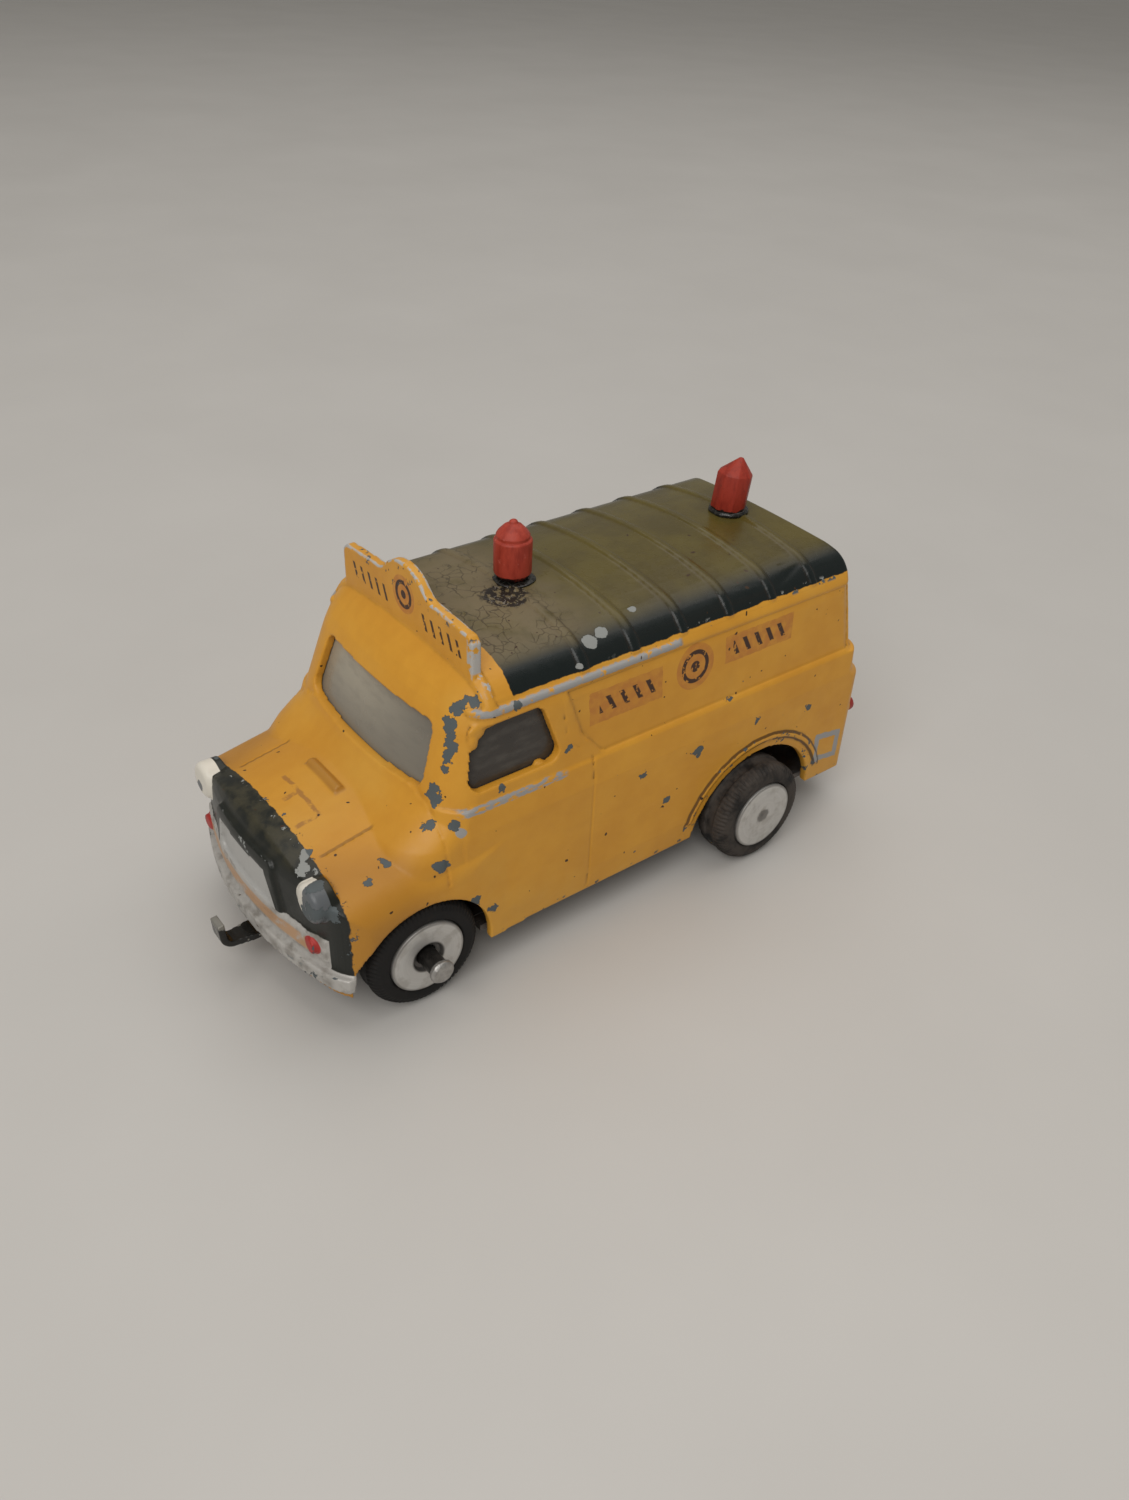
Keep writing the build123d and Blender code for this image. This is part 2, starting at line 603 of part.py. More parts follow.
def lamps():
    """Headlamp domes, small flashers and tail lamps, all cast with the body."""
    with BuildPart() as bosses:
        for x in (-LAMP_X, LAMP_X):
            with BuildSketch(Plane.XZ.offset(-LAMP_FACE_Y - LAMP_ROOT)):
                with Locations((x, LAMP_Z)):
                    Circle(LAMP_R)
            extrude(amount=LAMP_ROOT + LAMP_STANDS)
        fillet(bosses.faces().sort_by(Axis.Y)[:2].edges(), LAMP_EDGE_R)
        with BuildSketch(Plane.XZ.offset(-FLASHER_FRONT_Y - FLASHER_LENGTH)):
            with Locations((-FLASHER_X, FLASHER_Z), (FLASHER_X, FLASHER_Z)):
                Circle(FLASHER_R)
        extrude(amount=FLASHER_LENGTH)
        with BuildSketch(Plane.XZ.offset(-REAR_Y - TAIL_LAMP_STANDS)):
            with Locations((-TAIL_LAMP[0], TAIL_LAMP[1]), TAIL_LAMP):
                Circle(TAIL_LAMP_R)
        extrude(amount=TAIL_LAMP_LENGTH)
    return bosses.part


def rivet_post(y, top, plates):
    """Post cast inside the body, its pin through the base and its end spun over."""
    bottom = SILL_Z - plates
    with BuildPart() as post:
        with BuildSketch(Plane.XY.offset(SILL_Z + PLATE)):
            with Locations((0, y)):
                Circle(POST_R)
        extrude(amount=top - SILL_Z - PLATE)
        with BuildSketch(Plane.XY.offset(bottom)):
            with Locations((0, y)):
                Circle(PIN_R)
        extrude(amount=SILL_Z + PLATE - bottom)
        with BuildSketch(Plane.XY.offset(bottom - HEAD_THICK)):
            with Locations((0, y)):
                Circle(HEAD_R)
        extrude(amount=HEAD_THICK)
    return post.part


def van_form(inset):
    """Whole outer form of the van, shrunk by inset."""
    with BuildPart() as form:
        add(cabin(inset))
        add(lower_body(inset))
        add(nose(inset))
        add(cowl(inset))
    return form.part


os.makedirs("parts", exist_ok=True)

# ---- body casting -------------------------------------------------------------------------------
solid_form = van_form(0)
groove_core = van_form(SHUT_DEPTH)

with BuildPart() as body_shell:
    add(solid_form)
    add(side_panels(van_form(PANEL_DEPTH)), mode=Mode.SUBTRACT)
    add(side_grooves(groove_core), mode=Mode.SUBTRACT)
    add(tail_grooves(groove_core), mode=Mode.SUBTRACT)
    add(bonnet_grooves(groove_core), mode=Mode.SUBTRACT)
    add(roof_ribs())
    add(side_trim())
    add(arch_lips())
    add(sign_plate())
    for piece in face_trim():
        add(piece)
    add(lamps())
    with Locations(Location((0, SCOOP_Y, SCOOP_Z), (0, 90, 0))):
        Cylinder(SCOOP_R, 2 * SCOOP_HALF)
    add(van_form(WALL), mode=Mode.SUBTRACT)
    with Locations((0, 0, SILL_Z - OVERRUN)):
        Box(4 * LOWER_HALF, 4 * REAR_Y, 2 * OVERRUN, mode=Mode.SUBTRACT)
    add(windscreen_prism(0), mode=Mode.SUBTRACT)
    add(door_window_prism(0, -SIDE_REACH, 2 * SIDE_REACH), mode=Mode.SUBTRACT)
    add(tail_window_prism(0), mode=Mode.SUBTRACT)
    with BuildSketch(Plane.YZ.offset(-SIDE_REACH)):
        with Locations(FRONT_ARCH_CENTRE):
            Circle(FRONT_ARCH_R)
        with Locations(REAR_ARCH_CENTRE):
            Circle(REAR_ARCH_R)
    extrude(amount=2 * SIDE_REACH, mode=Mode.SUBTRACT)
    add(rivet_post(FRONT_POST_Y, FRONT_POST_TOP, STRIP))
    add(rivet_post(REAR_POST_Y, REAR_POST_TOP, 0))
body_shell.part.label = "body_shell"
export_step(body_shell.part, "parts/body_shell.step")

# ---- glazing ------------------------------------------------------------------------------------
with BuildPart() as glass_sheet:
    add(van_form(WALL + GLASS_GAP))
    add(van_form(WALL + GLASS_GAP + GLASS), mode=Mode.SUBTRACT)

with BuildPart() as windscreen_glazing:
    add(glass_sheet.part)
    add(windscreen_prism(GLASS_OVERLAP), mode=Mode.INTERSECT)
windscreen_glazing.part.label = "windscreen_glazing"
export_step(windscreen_glazing.part, "parts/windscreen_glazing.step")

with BuildPart() as left_door_glazing:
    add(glass_sheet.part)
    add(door_window_prism(GLASS_OVERLAP, DOOR_GLASS_X, DOOR_GLASS_DEPTH), mode=Mode.INTERSECT)
left_door_glazing.part.label = "left_door_glazing"
export_step(left_door_glazing.part, "parts/left_door_glazing.step")

with BuildPart() as right_door_glazing:
    add(mirror(left_door_glazing.part, about=Plane.YZ, mode=Mode.PRIVATE))
right_door_glazing.part.label = "right_door_glazing"
export_step(right_door_glazing.part, "parts/right_door_glazing.step")

with BuildPart() as rear_door_glazing:
    add(glass_sheet.part)
    add(tail_window_prism(GLASS_OVERLAP), mode=Mode.INTERSECT)
rear_door_glazing.part.label = "rear_door_glazing"
export_step(rear_door_glazing.part, "parts/rear_door_glazing.step")

# ---- base ---------------------------------------------------------------------------------------
with BuildPart() as baseplate:
    with BuildSketch(Plane.XY.offset(SILL_Z)):
        with BuildLine():
            Polyline((-PLATE_HALF, PLATE_FRONT_Y + PLATE_NECK), (-PLATE_NECK_HALF, PLATE_FRONT_Y),
                     (PLATE_NECK_HALF, PLATE_FRONT_Y), (PLATE_HALF, PLATE_FRONT_Y + PLATE_NECK),
                     (PLATE_HALF, PLATE_REAR_Y - PLATE_CORNER), (PLATE_HALF - PLATE_CORNER, PLATE_REAR_Y),
                     (PLATE_CORNER - PLATE_HALF, PLATE_REAR_Y), (-PLATE_HALF, PLATE_REAR_Y - PLATE_CORNER),
                     close=True)
        make_face()
        for y, inner in ((FRONT_AXLE_Y, FRONT_HUB[0] - HUB_BOSS), (REAR_AXLE_Y, REAR_HUB[0] - HUB_BOSS)):
            middle = inner - PLATE_WHEEL_GAP + PLATE_WHEEL_ROOM / 2
            with Locations((middle, y), (-middle, y)):
                Rectangle(PLATE_WHEEL_ROOM, 2 * (TYRE_R + PLATE_TYRE_GAP), mode=Mode.SUBTRACT)
        with Locations((0, FRONT_POST_Y), (0, REAR_POST_Y)):
            Circle(PIN_R + PIN_GAP, mode=Mode.SUBTRACT)
    extrude(amount=PLATE)
    with Locations((0, (PRESSED_FRONT_Y + PRESSED_REAR_Y) / 2, SILL_Z + (PLATE - PRESSED) / 2)):
        Box(2 * PRESSED_HALF, PRESSED_REAR_Y - PRESSED_FRONT_Y, PLATE + PRESSED)
    with Locations((0, (PRESSED_FRONT_Y + PRESSED_REAR_Y) / 2, SILL_Z + PLATE - PRESSED / 2)):
        Box(2 * (PRESSED_HALF - PLATE), PRESSED_REAR_Y - PRESSED_FRONT_Y - 2 * PLATE, PRESSED,
            mode=Mode.SUBTRACT)
    for y, x in ((FRONT_AXLE_Y, FRONT_EAR_X), (REAR_AXLE_Y, REAR_EAR_X)):
        for side in (-x, x):
            with BuildSketch(Plane.YZ.offset(side - PLATE / 2)):
                with Locations((y, AXLE_Z)):
                    Circle(EAR_TOP_R)
                with Locations((y, (SILL_Z + AXLE_Z) / 2)):
                    Rectangle(EAR_WIDTH, AXLE_Z - SILL_Z)
                with Locations((y, AXLE_Z)):
                    Circle(AXLE_R + RUNNING_GAP, mode=Mode.SUBTRACT)
                with Locations((y, SILL_Z - OVERRUN)):
                    Rectangle(2 * EAR_WIDTH, 2 * OVERRUN, mode=Mode.SUBTRACT)
            extrude(amount=PLATE)
baseplate.part.label = "baseplate"
export_step(baseplate.part, "parts/baseplate.step")

# ---- tow hook -----------------------------------------------------------------------------------
with BuildPart() as tow_hook:
    with BuildSketch(Plane.YZ.offset(-HOOK_BLANK)):
        with BuildLine():
            run = Line((FRONT_POST_Y + HOOK_PAD_R, SILL_Z - STRIP / 2), (HOOK_BEND_Y, SILL_Z - STRIP / 2))
            bend = TangentArc(run @ 1, (HOOK_TIP_Y, SILL_Z - STRIP / 2 + HOOK_BEND_R), tangent=run % 1)
            Line(bend @ 1, (HOOK_TIP_Y - HOOK_LEAN, HOOK_TIP_Z))
        trace(line_width=STRIP)
    extrude(amount=2 * HOOK_BLANK)
    with BuildSketch(Plane.XY):
        with BuildLine():
            Polyline((HOOK_X - HOOK_TIP_HALF, HOOK_TIP_Y - HOOK_CUT),
                     (HOOK_X + HOOK_TIP_HALF, HOOK_TIP_Y - HOOK_CUT),
                     (HOOK_X + HOOK_TIP_HALF, HOOK_BEND_Y),
                     (HOOK_X + HOOK_HALF, NOSE_Y - HOOK_CUT / 2),
                     (HOOK_X + HOOK_HALF, FRONT_POST_Y), (HOOK_X - HOOK_HALF, FRONT_POST_Y),
                     (HOOK_X - HOOK_HALF, NOSE_Y - HOOK_CUT / 2),
                     (HOOK_X - HOOK_TIP_HALF, HOOK_BEND_Y), close=True)
        make_face()
        with Locations((0, FRONT_POST_Y)):
            Circle(HOOK_PAD_R)
            Circle(PIN_R + PIN_GAP, mode=Mode.SUBTRACT)
    extrude(amount=HOOK_BLANK_Z, mode=Mode.INTERSECT)
tow_hook.part.label = "tow_hook"
export_step(tow_hook.part, "parts/tow_hook.step")

# ---- roof beacons -------------------------------------------------------------------------------
with BuildPart() as front_beacon_pad:
    with BuildSketch(Plane.XY.offset(ROOF_Z - PAD_ROOT)):
        with Locations((PAD_SHIFT, BEACON_Y)):
            Ellipse(PAD_R, PAD_R - PAD_OVAL)
    extrude(amount=PAD_ROOT + PAD_THICK)
    add(body_shell.part, mode=Mode.SUBTRACT)
front_beacon_pad.part.label = "front_beacon_pad"
export_step(front_beacon_pad.part, "parts/front_beacon_pad.step")

with BuildPart() as front_beacon:
    with BuildSketch(Plane.XZ.offset(-BEACON_Y)):
        with BuildLine():
            Polyline((0, BEACON_FOOT), *BEACON_PROFILE)
            ThreePointArc(BEACON_PROFILE[-1], BEACON_DOME, BEACON_NUB)
            Polyline(BEACON_NUB, (BEACON_NUB_TOP, BEACON_TOP), (0, BEACON_TOP), (0, BEACON_FOOT))
        make_face()
    revolve(axis=Axis((0, BEACON_Y, 0), (0, 0, 1)))
front_beacon.part.label = "front_beacon"
export_step(front_beacon.part, "parts/front_beacon.step")

tilted = Plane(origin=(0, REAR_BEACON_Y, REAR_FOOT_Z), x_dir=(1, 0, 0),
               z_dir=(0, sin(radians(REAR_BEACON_TILT)), cos(radians(REAR_BEACON_TILT))))

with BuildPart() as rear_beacon_pad:
    with BuildSketch(tilted.offset(-REAR_PAD_ROOT)):
        with Locations((0, REAR_PAD_SHIFT)):
            Ellipse(PAD_R + PAD_SHIFT, PAD_R)
    extrude(amount=REAR_PAD_ROOT + PAD_THICK)
    add(body_shell.part, mode=Mode.SUBTRACT)
rear_beacon_pad.part.label = "rear_beacon_pad"
export_step(rear_beacon_pad.part, "parts/rear_beacon_pad.step")

with BuildPart() as rear_beacon:
    with BuildSketch(tilted.offset(PAD_THICK)):
        RegularPolygon(FACET_R, FACETS, rotation=FACET_TURN)
    extrude(amount=FACET_HEIGHT)
    with BuildSketch(tilted.offset(PAD_THICK + FACET_HEIGHT)) as shoulder_face:
        RegularPolygon(FACET_R, FACETS, rotation=FACET_TURN)
    with BuildSketch(tilted.offset(PAD_THICK + FACET_HEIGHT + TIP_HEIGHT)) as tip_face:
        with Locations(TIP_SHIFT):
            RegularPolygon(TIP_R, FACETS, rotation=FACET_TURN)
    loft(sections=[shoulder_face.sketch, tip_face.sketch], ruled=True)
rear_beacon.part.label = "rear_beacon"
export_step(rear_beacon.part, "parts/rear_beacon.step")


# ---- running gear -------------------------------------------------------------------------------
def wheel_plane(side, x):
    """Plane across the axle at the distance x out from the centre line, facing outwards."""
    return Plane(origin=(side * x, 0, 0), x_dir=(0, side, 0), z_dir=(side, 0, 0))


def tyre(side, y, span):
    """Rubber ring with rounded shoulders."""
    with BuildPart() as ring:
        with BuildSketch(wheel_plane(side, span[0])):
            with Locations((side * y, AXLE_Z)):
                Circle(TYRE_R)
                Circle(HUB_R, mode=Mode.SUBTRACT)
        extrude(amount=span[1] - span[0])
        fillet(ring.edges().filter_by(GeomType.CIRCLE).sort_by(SortBy.RADIUS)[-2:], TYRE_SHOULDER_R)
    return ring.part


def hub(side, y, span, bore, recess, blind):
    """Turned hub with an inner boss; a blind bore leaves the outer face closed."""
    width = span[1] - span[0]
    with BuildPart() as disc:
        with BuildSketch(wheel_plane(side, span[0])):
            with Locations((side * y, AXLE_Z)):
                Circle(HUB_R)
        extrude(amount=width)
        chamfer(disc.faces().sort_by(Axis.X)[-1 if side > 0 else 0].edges(), HUB_CHAMFER)
        with BuildSketch(wheel_plane(side, span[0] - HUB_BOSS)):
            with Locations((side * y, AXLE_Z)):
                Circle(HUB_BOSS_R)
        extrude(amount=HUB_BOSS)
        with BuildSketch(wheel_plane(side, span[0] - HUB_BOSS)):
            with Locations((side * y, AXLE_Z)):
                Circle(bore)
        extrude(amount=HUB_BOSS + width - blind, mode=Mode.SUBTRACT)
        with BuildSketch(wheel_plane(side, span[1] - HUB_RECESS * recess)):
            with Locations((side * y, AXLE_Z)):
                Circle(HUB_RECESS_R if recess else DIMPLE_R)
        extrude(amount=max(HUB_RECESS * recess, DIMPLE), mode=Mode.SUBTRACT)
    return disc.part


SIDES = {"left": 1, "right": -1}
for name, side in SIDES.items():
    with BuildPart() as front_tyre:
        add(tyre(side, FRONT_AXLE_Y, FRONT_TYRE))
    front_tyre.part.label = "front_" + name + "_tyre"
    export_step(front_tyre.part, "parts/front_" + name + "_tyre.step")

    with BuildPart() as front_hub:
        add(hub(side, FRONT_AXLE_Y, FRONT_HUB, AXLE_R + RUNNING_GAP, 1, 0))
    front_hub.part.label = "front_" + name + "_hub"
    export_step(front_hub.part, "parts/front_" + name + "_hub.step")

    with BuildPart() as rear_tyre:
        add(tyre(side, REAR_AXLE_Y, REAR_TYRE))
    rear_tyre.part.label = "rear_" + name + "_tyre"
    export_step(rear_tyre.part, "parts/rear_" + name + "_tyre.step")

    with BuildPart() as rear_hub:
        add(hub(side, REAR_AXLE_Y, REAR_HUB, AXLE_R, 0, HUB_FACE))
    rear_hub.part.label = "rear_" + name + "_hub"
    export_step(rear_hub.part, "parts/rear_" + name + "_hub.step")

right_stop = -FRONT_HUB[1] - STOP_GAP
left_stop = FRONT_HUB[1] + STOP_GAP + AXLE_FLOAT
with BuildPart() as front_axle:
    with BuildSketch(Plane.YZ.offset(right_stop)):
        with Locations((FRONT_AXLE_Y, AXLE_Z)):
            Circle(AXLE_R)
    extrude(amount=left_stop - right_stop)
    for x in (right_stop - RIVET_END, left_stop):
        with BuildSketch(Plane.YZ.offset(x)):
            with Locations((FRONT_AXLE_Y, AXLE_Z)):
                Circle(RIVET_END_R)
        extrude(amount=RIVET_END)
    chamfer(front_axle.faces().sort_by(Axis.X)[0].edges(), RIVET_END_CHAMFER)
    chamfer(front_axle.faces().sort_by(Axis.X)[-1].edges(), RIVET_END_CHAMFER)
front_axle.part.label = "front_axle"
export_step(front_axle.part, "parts/front_axle.step")

with BuildPart() as rear_axle:
    half_length = REAR_HUB[1] - HUB_FACE
    with BuildSketch(Plane.YZ.offset(-half_length)):
        with Locations((REAR_AXLE_Y, AXLE_Z)):
            Circle(AXLE_R)
    extrude(amount=2 * half_length)
rear_axle.part.label = "rear_axle"
export_step(rear_axle.part, "parts/rear_axle.step")
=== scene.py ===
import math

import bmesh
import bpy
from mathutils import Matrix, Vector, noise


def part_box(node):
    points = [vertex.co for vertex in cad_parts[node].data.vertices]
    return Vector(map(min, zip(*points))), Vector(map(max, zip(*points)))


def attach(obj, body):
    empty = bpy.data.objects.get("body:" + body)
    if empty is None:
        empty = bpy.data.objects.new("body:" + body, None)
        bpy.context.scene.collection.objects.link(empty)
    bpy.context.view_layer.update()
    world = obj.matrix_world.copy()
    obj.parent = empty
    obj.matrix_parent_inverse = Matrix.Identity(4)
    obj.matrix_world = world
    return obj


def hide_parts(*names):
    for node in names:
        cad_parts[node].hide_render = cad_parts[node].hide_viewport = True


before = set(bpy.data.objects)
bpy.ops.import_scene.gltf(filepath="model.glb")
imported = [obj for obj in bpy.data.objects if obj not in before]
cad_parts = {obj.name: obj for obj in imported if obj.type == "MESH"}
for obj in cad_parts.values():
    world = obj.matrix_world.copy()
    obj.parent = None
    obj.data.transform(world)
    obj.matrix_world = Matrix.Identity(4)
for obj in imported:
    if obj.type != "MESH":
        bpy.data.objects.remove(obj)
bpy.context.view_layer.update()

MM = 0.001
FULL_TURN = 2 * math.pi


# ---- places taken from the frame ----------------------------------------------------------------
def middle(node):
    """Middle of a CAD node's box, in metres."""
    low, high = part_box(node)
    return (low + high) / 2


FRONT_AXLE = middle("front_left_tyre")
REAR_AXLE = middle("rear_left_tyre")
TYRE_R = (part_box("front_left_tyre")[1].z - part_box("front_left_tyre")[0].z) / 2
HUB_R = (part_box("front_left_hub")[1].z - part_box("front_left_hub")[0].z) / 2
ROD_R = (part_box("rear_axle")[1].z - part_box("rear_axle")[0].z) / 2


# ---- camera, light and floor --------------------------------------------------------------------
CAMERA_PLACE = Vector((100.664, -75.632, 104.176)) * MM
CAMERA_TURN = math.radians(51.01)      # heading, from +Y towards -X
CAMERA_DOWN = math.radians(35.58)
CAMERA_ROLL = math.radians(2.80)
CAMERA_LENS = 29.25


def place_camera():
    """Camera at the viewing angle, looking down on the van's front left corner."""
    forward = Vector((-math.sin(CAMERA_TURN) * math.cos(CAMERA_DOWN),
                      math.cos(CAMERA_TURN) * math.cos(CAMERA_DOWN), -math.sin(CAMERA_DOWN)))
    level = Vector((math.cos(CAMERA_TURN), math.sin(CAMERA_TURN), 0))
    upright = level.cross(forward)
    right = math.cos(CAMERA_ROLL) * level + math.sin(CAMERA_ROLL) * upright
    up = math.cos(CAMERA_ROLL) * upright - math.sin(CAMERA_ROLL) * level
    data = bpy.data.cameras.new("camera")
    data.lens = CAMERA_LENS
    data.clip_start = 0.005
    camera = bpy.data.objects.new("camera", data)
    turn = Matrix((right, up, -forward)).transposed()
    camera.matrix_world = Matrix.Translation(CAMERA_PLACE) @ turn.to_4x4()
    bpy.context.scene.collection.objects.link(camera)
    bpy.context.scene.camera = camera


def area_light(name, place, size, power, colour):
    """Soft rectangular light that looks at the van."""
    data = bpy.data.lights.new(name, "AREA")
    data.shape = "RECTANGLE"
    data.size, data.size_y = size
    data.energy = power
    data.color = colour
    light = bpy.data.objects.new(name, data)
    light.location = place
    light.rotation_euler = (Vector((0, 0, 0.02)) - light.location).to_track_quat("-Z", "Y").to_euler()
    bpy.context.scene.collection.objects.link(light)


def lay_floor():
    """Plain pale table top and the even light around it."""
    shape = bmesh.new()
    bmesh.ops.create_grid(shape, x_segments=1, y_segments=1, size=3.0)
    floor = piece_from(shape, "floor", table_paint(), smooth=False)
    world = bpy.data.worlds.new("room")
    world.use_nodes = True
    background = world.node_tree.nodes["Background"]
    background.inputs["Color"].default_value = (0.93, 0.90, 0.84, 1)
    background.inputs["Strength"].default_value = 0.30
    bpy.context.scene.world = world
    bpy.context.scene.view_settings.view_transform = "Standard"
    area_light("window", (0.28, -0.42, 0.52), (0.55, 0.45), 2.5, (1.0, 0.98, 0.95))
    area_light("ceiling", (-0.10, 0.20, 0.80), (0.9, 0.9), 3.0, (1.0, 0.97, 0.93))


# ---- finishes -----------------------------------------------------------------------------------
class Finish:
    """A procedural material, with positions in millimetres in the van's own frame."""

    def __init__(self, name):
        self.material = bpy.data.materials.new(name)
        self.material.use_nodes = True
        self.tree = self.material.node_tree
        self.tree.nodes.clear()
        self.shader = self.tree.nodes.new("ShaderNodeBsdfPrincipled")
        output = self.tree.nodes.new("ShaderNodeOutputMaterial")
        self.tree.links.new(self.shader.outputs["BSDF"], output.inputs["Surface"])
        object_place = self.tree.nodes.new("ShaderNodeTexCoord").outputs["Object"]
        self.place = self.vector("SCALE", object_place, scale=1 / MM)
        split = self.tree.nodes.new("ShaderNodeSeparateXYZ")
        self.feed(split.inputs[0], self.place)
        self.x, self.y, self.z = split.outputs
        self.side = self.compute("ABSOLUTE", self.x)

    def feed(self, socket, value):
        """Links an output to the socket, or sets the socket to a number or a colour."""
        if isinstance(value, bpy.types.NodeSocket):
            self.tree.links.new(value, socket)
        elif isinstance(value, tuple) and socket.type == "RGBA":
            socket.default_value = (*value, 1)
        else:
            socket.default_value = value

    def compute(self, operation, a, b=None, clamp=False):
        """One Math node."""
        node = self.tree.nodes.new("ShaderNodeMath")
        node.operation = operation
        node.use_clamp = clamp
        self.feed(node.inputs[0], a)
        if b is not None:
            self.feed(node.inputs[1], b)
        return node.outputs[0]

    def times(self, a, b):
        """Product of two values."""
        return self.compute("MULTIPLY", a, b)

    def plus(self, a, b):
        """Sum of two values."""
        return self.compute("ADD", a, b)

    def minus(self, a, b):
        """Difference of two values."""
        return self.compute("SUBTRACT", a, b)

    def vector(self, operation, a, b=None, scale=None):
        """One Vector Math node."""
        node = self.tree.nodes.new("ShaderNodeVectorMath")
        node.operation = operation
        self.feed(node.inputs[0], a)
        if b is not None:
            self.feed(node.inputs[1], b)
        if scale is not None:
            self.feed(node.inputs["Scale"], scale)
        return node.outputs["Vector"]

    def stretched(self, x, y, z):
        """Positions scaled differently along each axis, for strokes and streaks."""
        return self.vector("MULTIPLY", self.place, (x, y, z))

    def grain(self, scale, detail=3.0, rough=0.55, place=None):
        """Noise between 0 and 1, scale in waves per millimetre."""
        node = self.tree.nodes.new("ShaderNodeTexNoise")
        self.feed(node.inputs["Vector"], self.place if place is None else place)
        node.inputs["Scale"].default_value = scale
        node.inputs["Detail"].default_value = detail
        node.inputs["Roughness"].default_value = rough
        return node.outputs["Fac"]

    def cloud_colour(self, scale):
        """Noise as a vector, to bend other patterns with."""
        node = self.tree.nodes.new("ShaderNodeTexNoise")
        self.feed(node.inputs["Vector"], self.place)
        node.inputs["Scale"].default_value = scale
        return node.outputs["Color"]

    def cracks(self, scale, place=None):
        """Distance to the edges of random cells, scale in cells per millimetre."""
        node = self.tree.nodes.new("ShaderNodeTexVoronoi")
        node.feature = "DISTANCE_TO_EDGE"
        self.feed(node.inputs["Vector"], self.place if place is None else place)
        node.inputs["Scale"].default_value = scale
        return node.outputs["Distance"]

    def swing(self, amount, scale, detail=3.0):
        """Noise about zero, amount from its lowest to its highest."""
        return self.times(self.minus(self.grain(scale, detail), 0.5), amount)

    def wobbled(self, value, amount, scale=0.7, detail=3.0):
        """A coordinate that wanders by amount, so that an edge follows a hand-held brush."""
        return self.plus(value, self.swing(2 * amount, scale, detail))

    def distance(self, *pairs):
        """Distance from a point, given as (coordinate, place) pairs."""
        total = None
        for coordinate, at in pairs:
            square = self.compute("POWER", self.compute("ABSOLUTE", self.minus(coordinate, at)), 2.0)
            total = square if total is None else self.plus(total, square)
        return self.compute("SQRT", total)

    def above(self, value, edge, soft=0.1):
        """0 below edge, 1 above it, with a soft step."""
        node = self.tree.nodes.new("ShaderNodeMapRange")
        node.interpolation_type = "SMOOTHSTEP"
        self.feed(node.inputs["Value"], value)
        node.inputs["From Min"].default_value = edge - soft / 2
        node.inputs["From Max"].default_value = edge + soft / 2
        return node.outputs["Result"]

    def below(self, value, edge, soft=0.1):
        """1 below edge, 0 above it, with a soft step."""
        return self.minus(1.0, self.above(value, edge, soft))

    def between(self, value, low, high, soft=0.1):
        """1 between low and high."""
        return self.times(self.above(value, low, soft), self.below(value, high, soft))

    def patch(self, *spans):
        """Where every (value, low, high) or (value, low, high, soft) span holds."""
        return self.both(*(self.between(*span) for span in spans))

    def disc(self, *pairs, radius):
        """Closer than radius to a point, given as (coordinate, place) pairs."""
        return self.below(self.distance(*pairs), radius)

    def both(self, *masks):
        """Where every mask holds."""
        result = masks[0]
        for mask in masks[1:]:
            result = self.times(result, mask)
        return result

    def either(self, *masks):
        """Where any mask holds."""
        result = masks[0]
        for mask in masks[1:]:
            result = self.compute("MAXIMUM", result, mask)
        return result

    def invert(self, mask):
        """Where the mask doesn't hold."""
        return self.compute("SUBTRACT", 1.0, mask, clamp=True)

    def blend(self, under, over, mask, amount=1.0):
        """Colour or number of over where the mask holds, by amount at most, and under elsewhere."""
        if amount < 1.0:
            mask = self.times(mask, amount)
        colours = isinstance(under, tuple) or isinstance(over, tuple)
        if isinstance(under, bpy.types.NodeSocket) and under.type == "RGBA":
            colours = True
        node = self.tree.nodes.new("ShaderNodeMix")
        node.data_type = "RGBA" if colours else "FLOAT"
        first = 6 if colours else 2
        self.feed(node.inputs[0], mask)
        self.feed(node.inputs[first], under)
        self.feed(node.inputs[first + 1], over)
        return node.outputs[2 if colours else 0]

    def edges(self):
        """How convex the surface is: above 0.5 on ridges, below 0.5 in corners."""
        return self.tree.nodes.new("ShaderNodeNewGeometry").outputs["Pointiness"]

    def relief(self, height, depth, strength=1.0, under=None):
        """Bump from a height between 0 and 1 that stands for depth millimetres."""
        node = self.tree.nodes.new("ShaderNodeBump")
        node.inputs["Strength"].default_value = strength
        node.inputs["Distance"].default_value = depth * MM
        self.feed(node.inputs["Height"], height)
        if under is not None:
            self.feed(node.inputs["Normal"], under)
        return node.outputs["Normal"]

    def finish(self, colour, roughness, normal=None, metallic=0.0, **constants):
        """Feeds the shader and returns the material."""
        self.feed(self.shader.inputs["Base Color"], colour)
        self.feed(self.shader.inputs["Roughness"], roughness)
        self.feed(self.shader.inputs["Metallic"], metallic)
        if normal is not None:
            self.feed(self.shader.inputs["Normal"], normal)
        for name, value in constants.items():
            self.shader.inputs[name.replace("_", " ")].default_value = value
        return self.material


def table_paint():
    """Pale worn table top."""
    paint = Finish("table_paint")
    cloud = paint.grain(0.02, 4)
    colour = paint.blend((0.515, 0.50, 0.48), (0.585, 0.57, 0.55), cloud)
    return paint.finish(colour, 0.55, paint.relief(paint.grain(1.5, 2), 0.01, 0.3))


